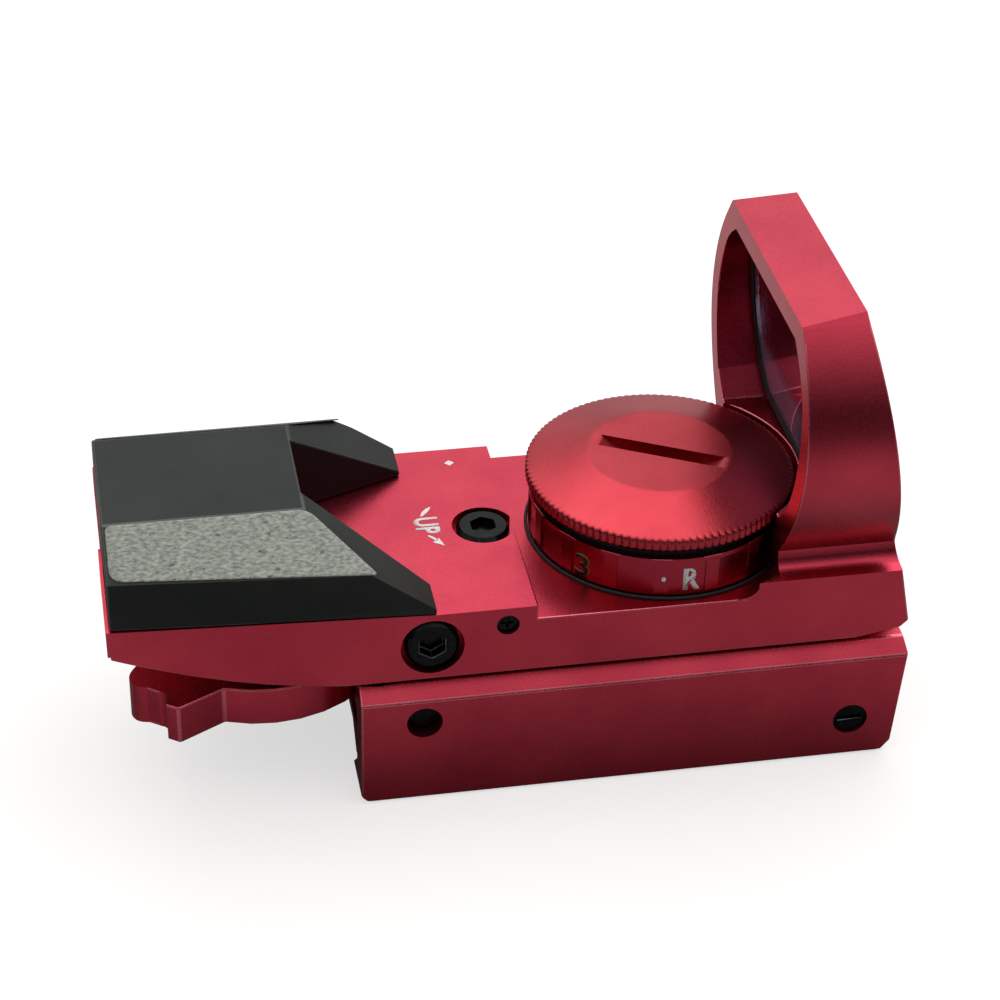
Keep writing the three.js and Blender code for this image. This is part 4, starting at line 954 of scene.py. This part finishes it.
# (radius, height, share of the knurl's depth) from the edge of the top, out and under
cap_profile = np.array([
    (CAP_FLAT_R - 0.3, CAP_TOP_Z, 0), (CAP_FLAT_R - 0.04, CAP_TOP_Z - 0.004, 0),
    (CAP_FLAT_R + 0.12, CAP_TOP_Z - 0.034, 0), (9.5, 14.546, 0), (11.5, 14.012, 0),
    (12.9, 13.639, 0), (13.3, 13.53, 0.2), (13.52, 13.46, 0.7), (13.66, 13.38, 1),
    (CAP_R, 13.28, 1), (CAP_R, band_z + 0.12, 1), (13.68, band_z + 0.03, 1),
    (13.58, band_z, 1), (13.2, band_z, 0), (12.62, band_z, 0), (12.62, 12.0, 0),
    (10.05, 12.0, 0), (10.05, cap_foot_z, 0), (8.45, cap_foot_z, 0), (8.45, 11.6, 0),
    (3.0, 11.6, 0), (3.0, cap_foot_z, 0), (0.0, cap_foot_z, 0)])
# a circle with a chord as long as the slot and an arch as high as its depth
cutter_r = (SLOT_LENGTH ** 2 / 4 + SLOT_DEPTH ** 2) / (2 * SLOT_DEPTH)


def slot_depth(along):
    """How deep a round cutter goes at a distance along the slot from its middle."""
    return np.sqrt(cutter_r ** 2 - along ** 2) - (cutter_r - SLOT_DEPTH)


def slot_rows(angle):
    """The slot's middle line, its floor's edge and its rim, one point for each angle.

    The rim is the rectangle where a ray at that angle leaves the slot: its radius is the
    smaller of half the length over |cos| and half the width over |sin|. The middle line
    stops SLOT_END short of each end."""
    half_length, half_width = SLOT_LENGTH / 2, SLOT_WIDTH / 2
    with np.errstate(divide="ignore"):
        radius = np.minimum(half_length / np.abs(np.cos(angle)),
                            half_width / np.abs(np.sin(angle)))
    along, across = radius * np.cos(angle), radius * np.sin(angle)
    inner = np.clip(along, SLOT_END - half_length, half_length - SLOT_END)
    depth = np.maximum(slot_depth(along), 0)
    top = np.full_like(along, CAP_TOP_Z)
    return [np.stack([inner, across * 0, top - slot_depth(inner)], -1),
            np.stack([along, across, top - depth], -1), np.stack([along, across, top], -1)]


def knurled_rows(profile, teeth, depth, angle):
    """A profile turned round the upright axis, with half-round teeth where it is knurled.

    At angle a the radius is r - k * depth * (1 - |sin(teeth * a / 2)|), k being the share."""
    notch = depth * (1 - np.abs(np.sin(teeth * angle / 2)))
    radius = profile[:, :1] - profile[:, 2:] * notch
    height = np.broadcast_to(profile[:, 1:2], radius.shape)
    return np.stack([radius * np.cos(angle), radius * np.sin(angle), height], -1)


STEPS_PER_TOOTH = 8
angles = np.linspace(0, 2 * np.pi, TEETH * STEPS_PER_TOOTH, endpoint=False)
cap_points = np.concatenate([
    np.array(slot_rows(angles)), knurled_rows(cap_profile, TEETH, TOOTH_DEPTH, angles)])
cap_mesh = grid_mesh("battery_cap_turned", cap_points * MM)
cap_mesh.transform(Matrix.Translation(on_housing(DIAL_X, 0, 0))
                   @ Matrix.Rotation(math.radians(SLOT_TURN), 4, "Z"))
cap_mesh.set_sharp_from_angle(angle=SHARP_ANGLE)
cap = bpy.data.objects.new("battery_cap_turned", cap_mesh)

turned_red = anodised("red_anodised_turned", "#9C2E38", "#BA4048", 0.33, 0.016)
cap_mesh.materials.append(turned_red)
seat(cap, "battery_cap")


# ---- rail clamp ----
# A red anodised base and sliding jaw that grip the rail, with a cross pin that keys into the
# rail's slot, a guide pin, and two springs that hold the jaw open.

CLAMP_EDGE_MM, JAW_NARROW_MM = 0.2, 1.6
eased_copy("clamp_base", CLAMP_EDGE_MM, red_anodised, red_edge_wear_and_highlight)
eased_copy("clamp_jaw", CLAMP_EDGE_MM, red_anodised, red_edge_wear_and_highlight, JAW_NARROW_MM)


# ---- quick release lever ----
# A red anodised lever under the tail, whose cam pulls the jaw in by the steel link as it
# swings round its bush.

LEVER_EDGE_MM = 0.25
eased_copy("qd_lever", LEVER_EDGE_MM, red_anodised, red_edge_wear_and_highlight)
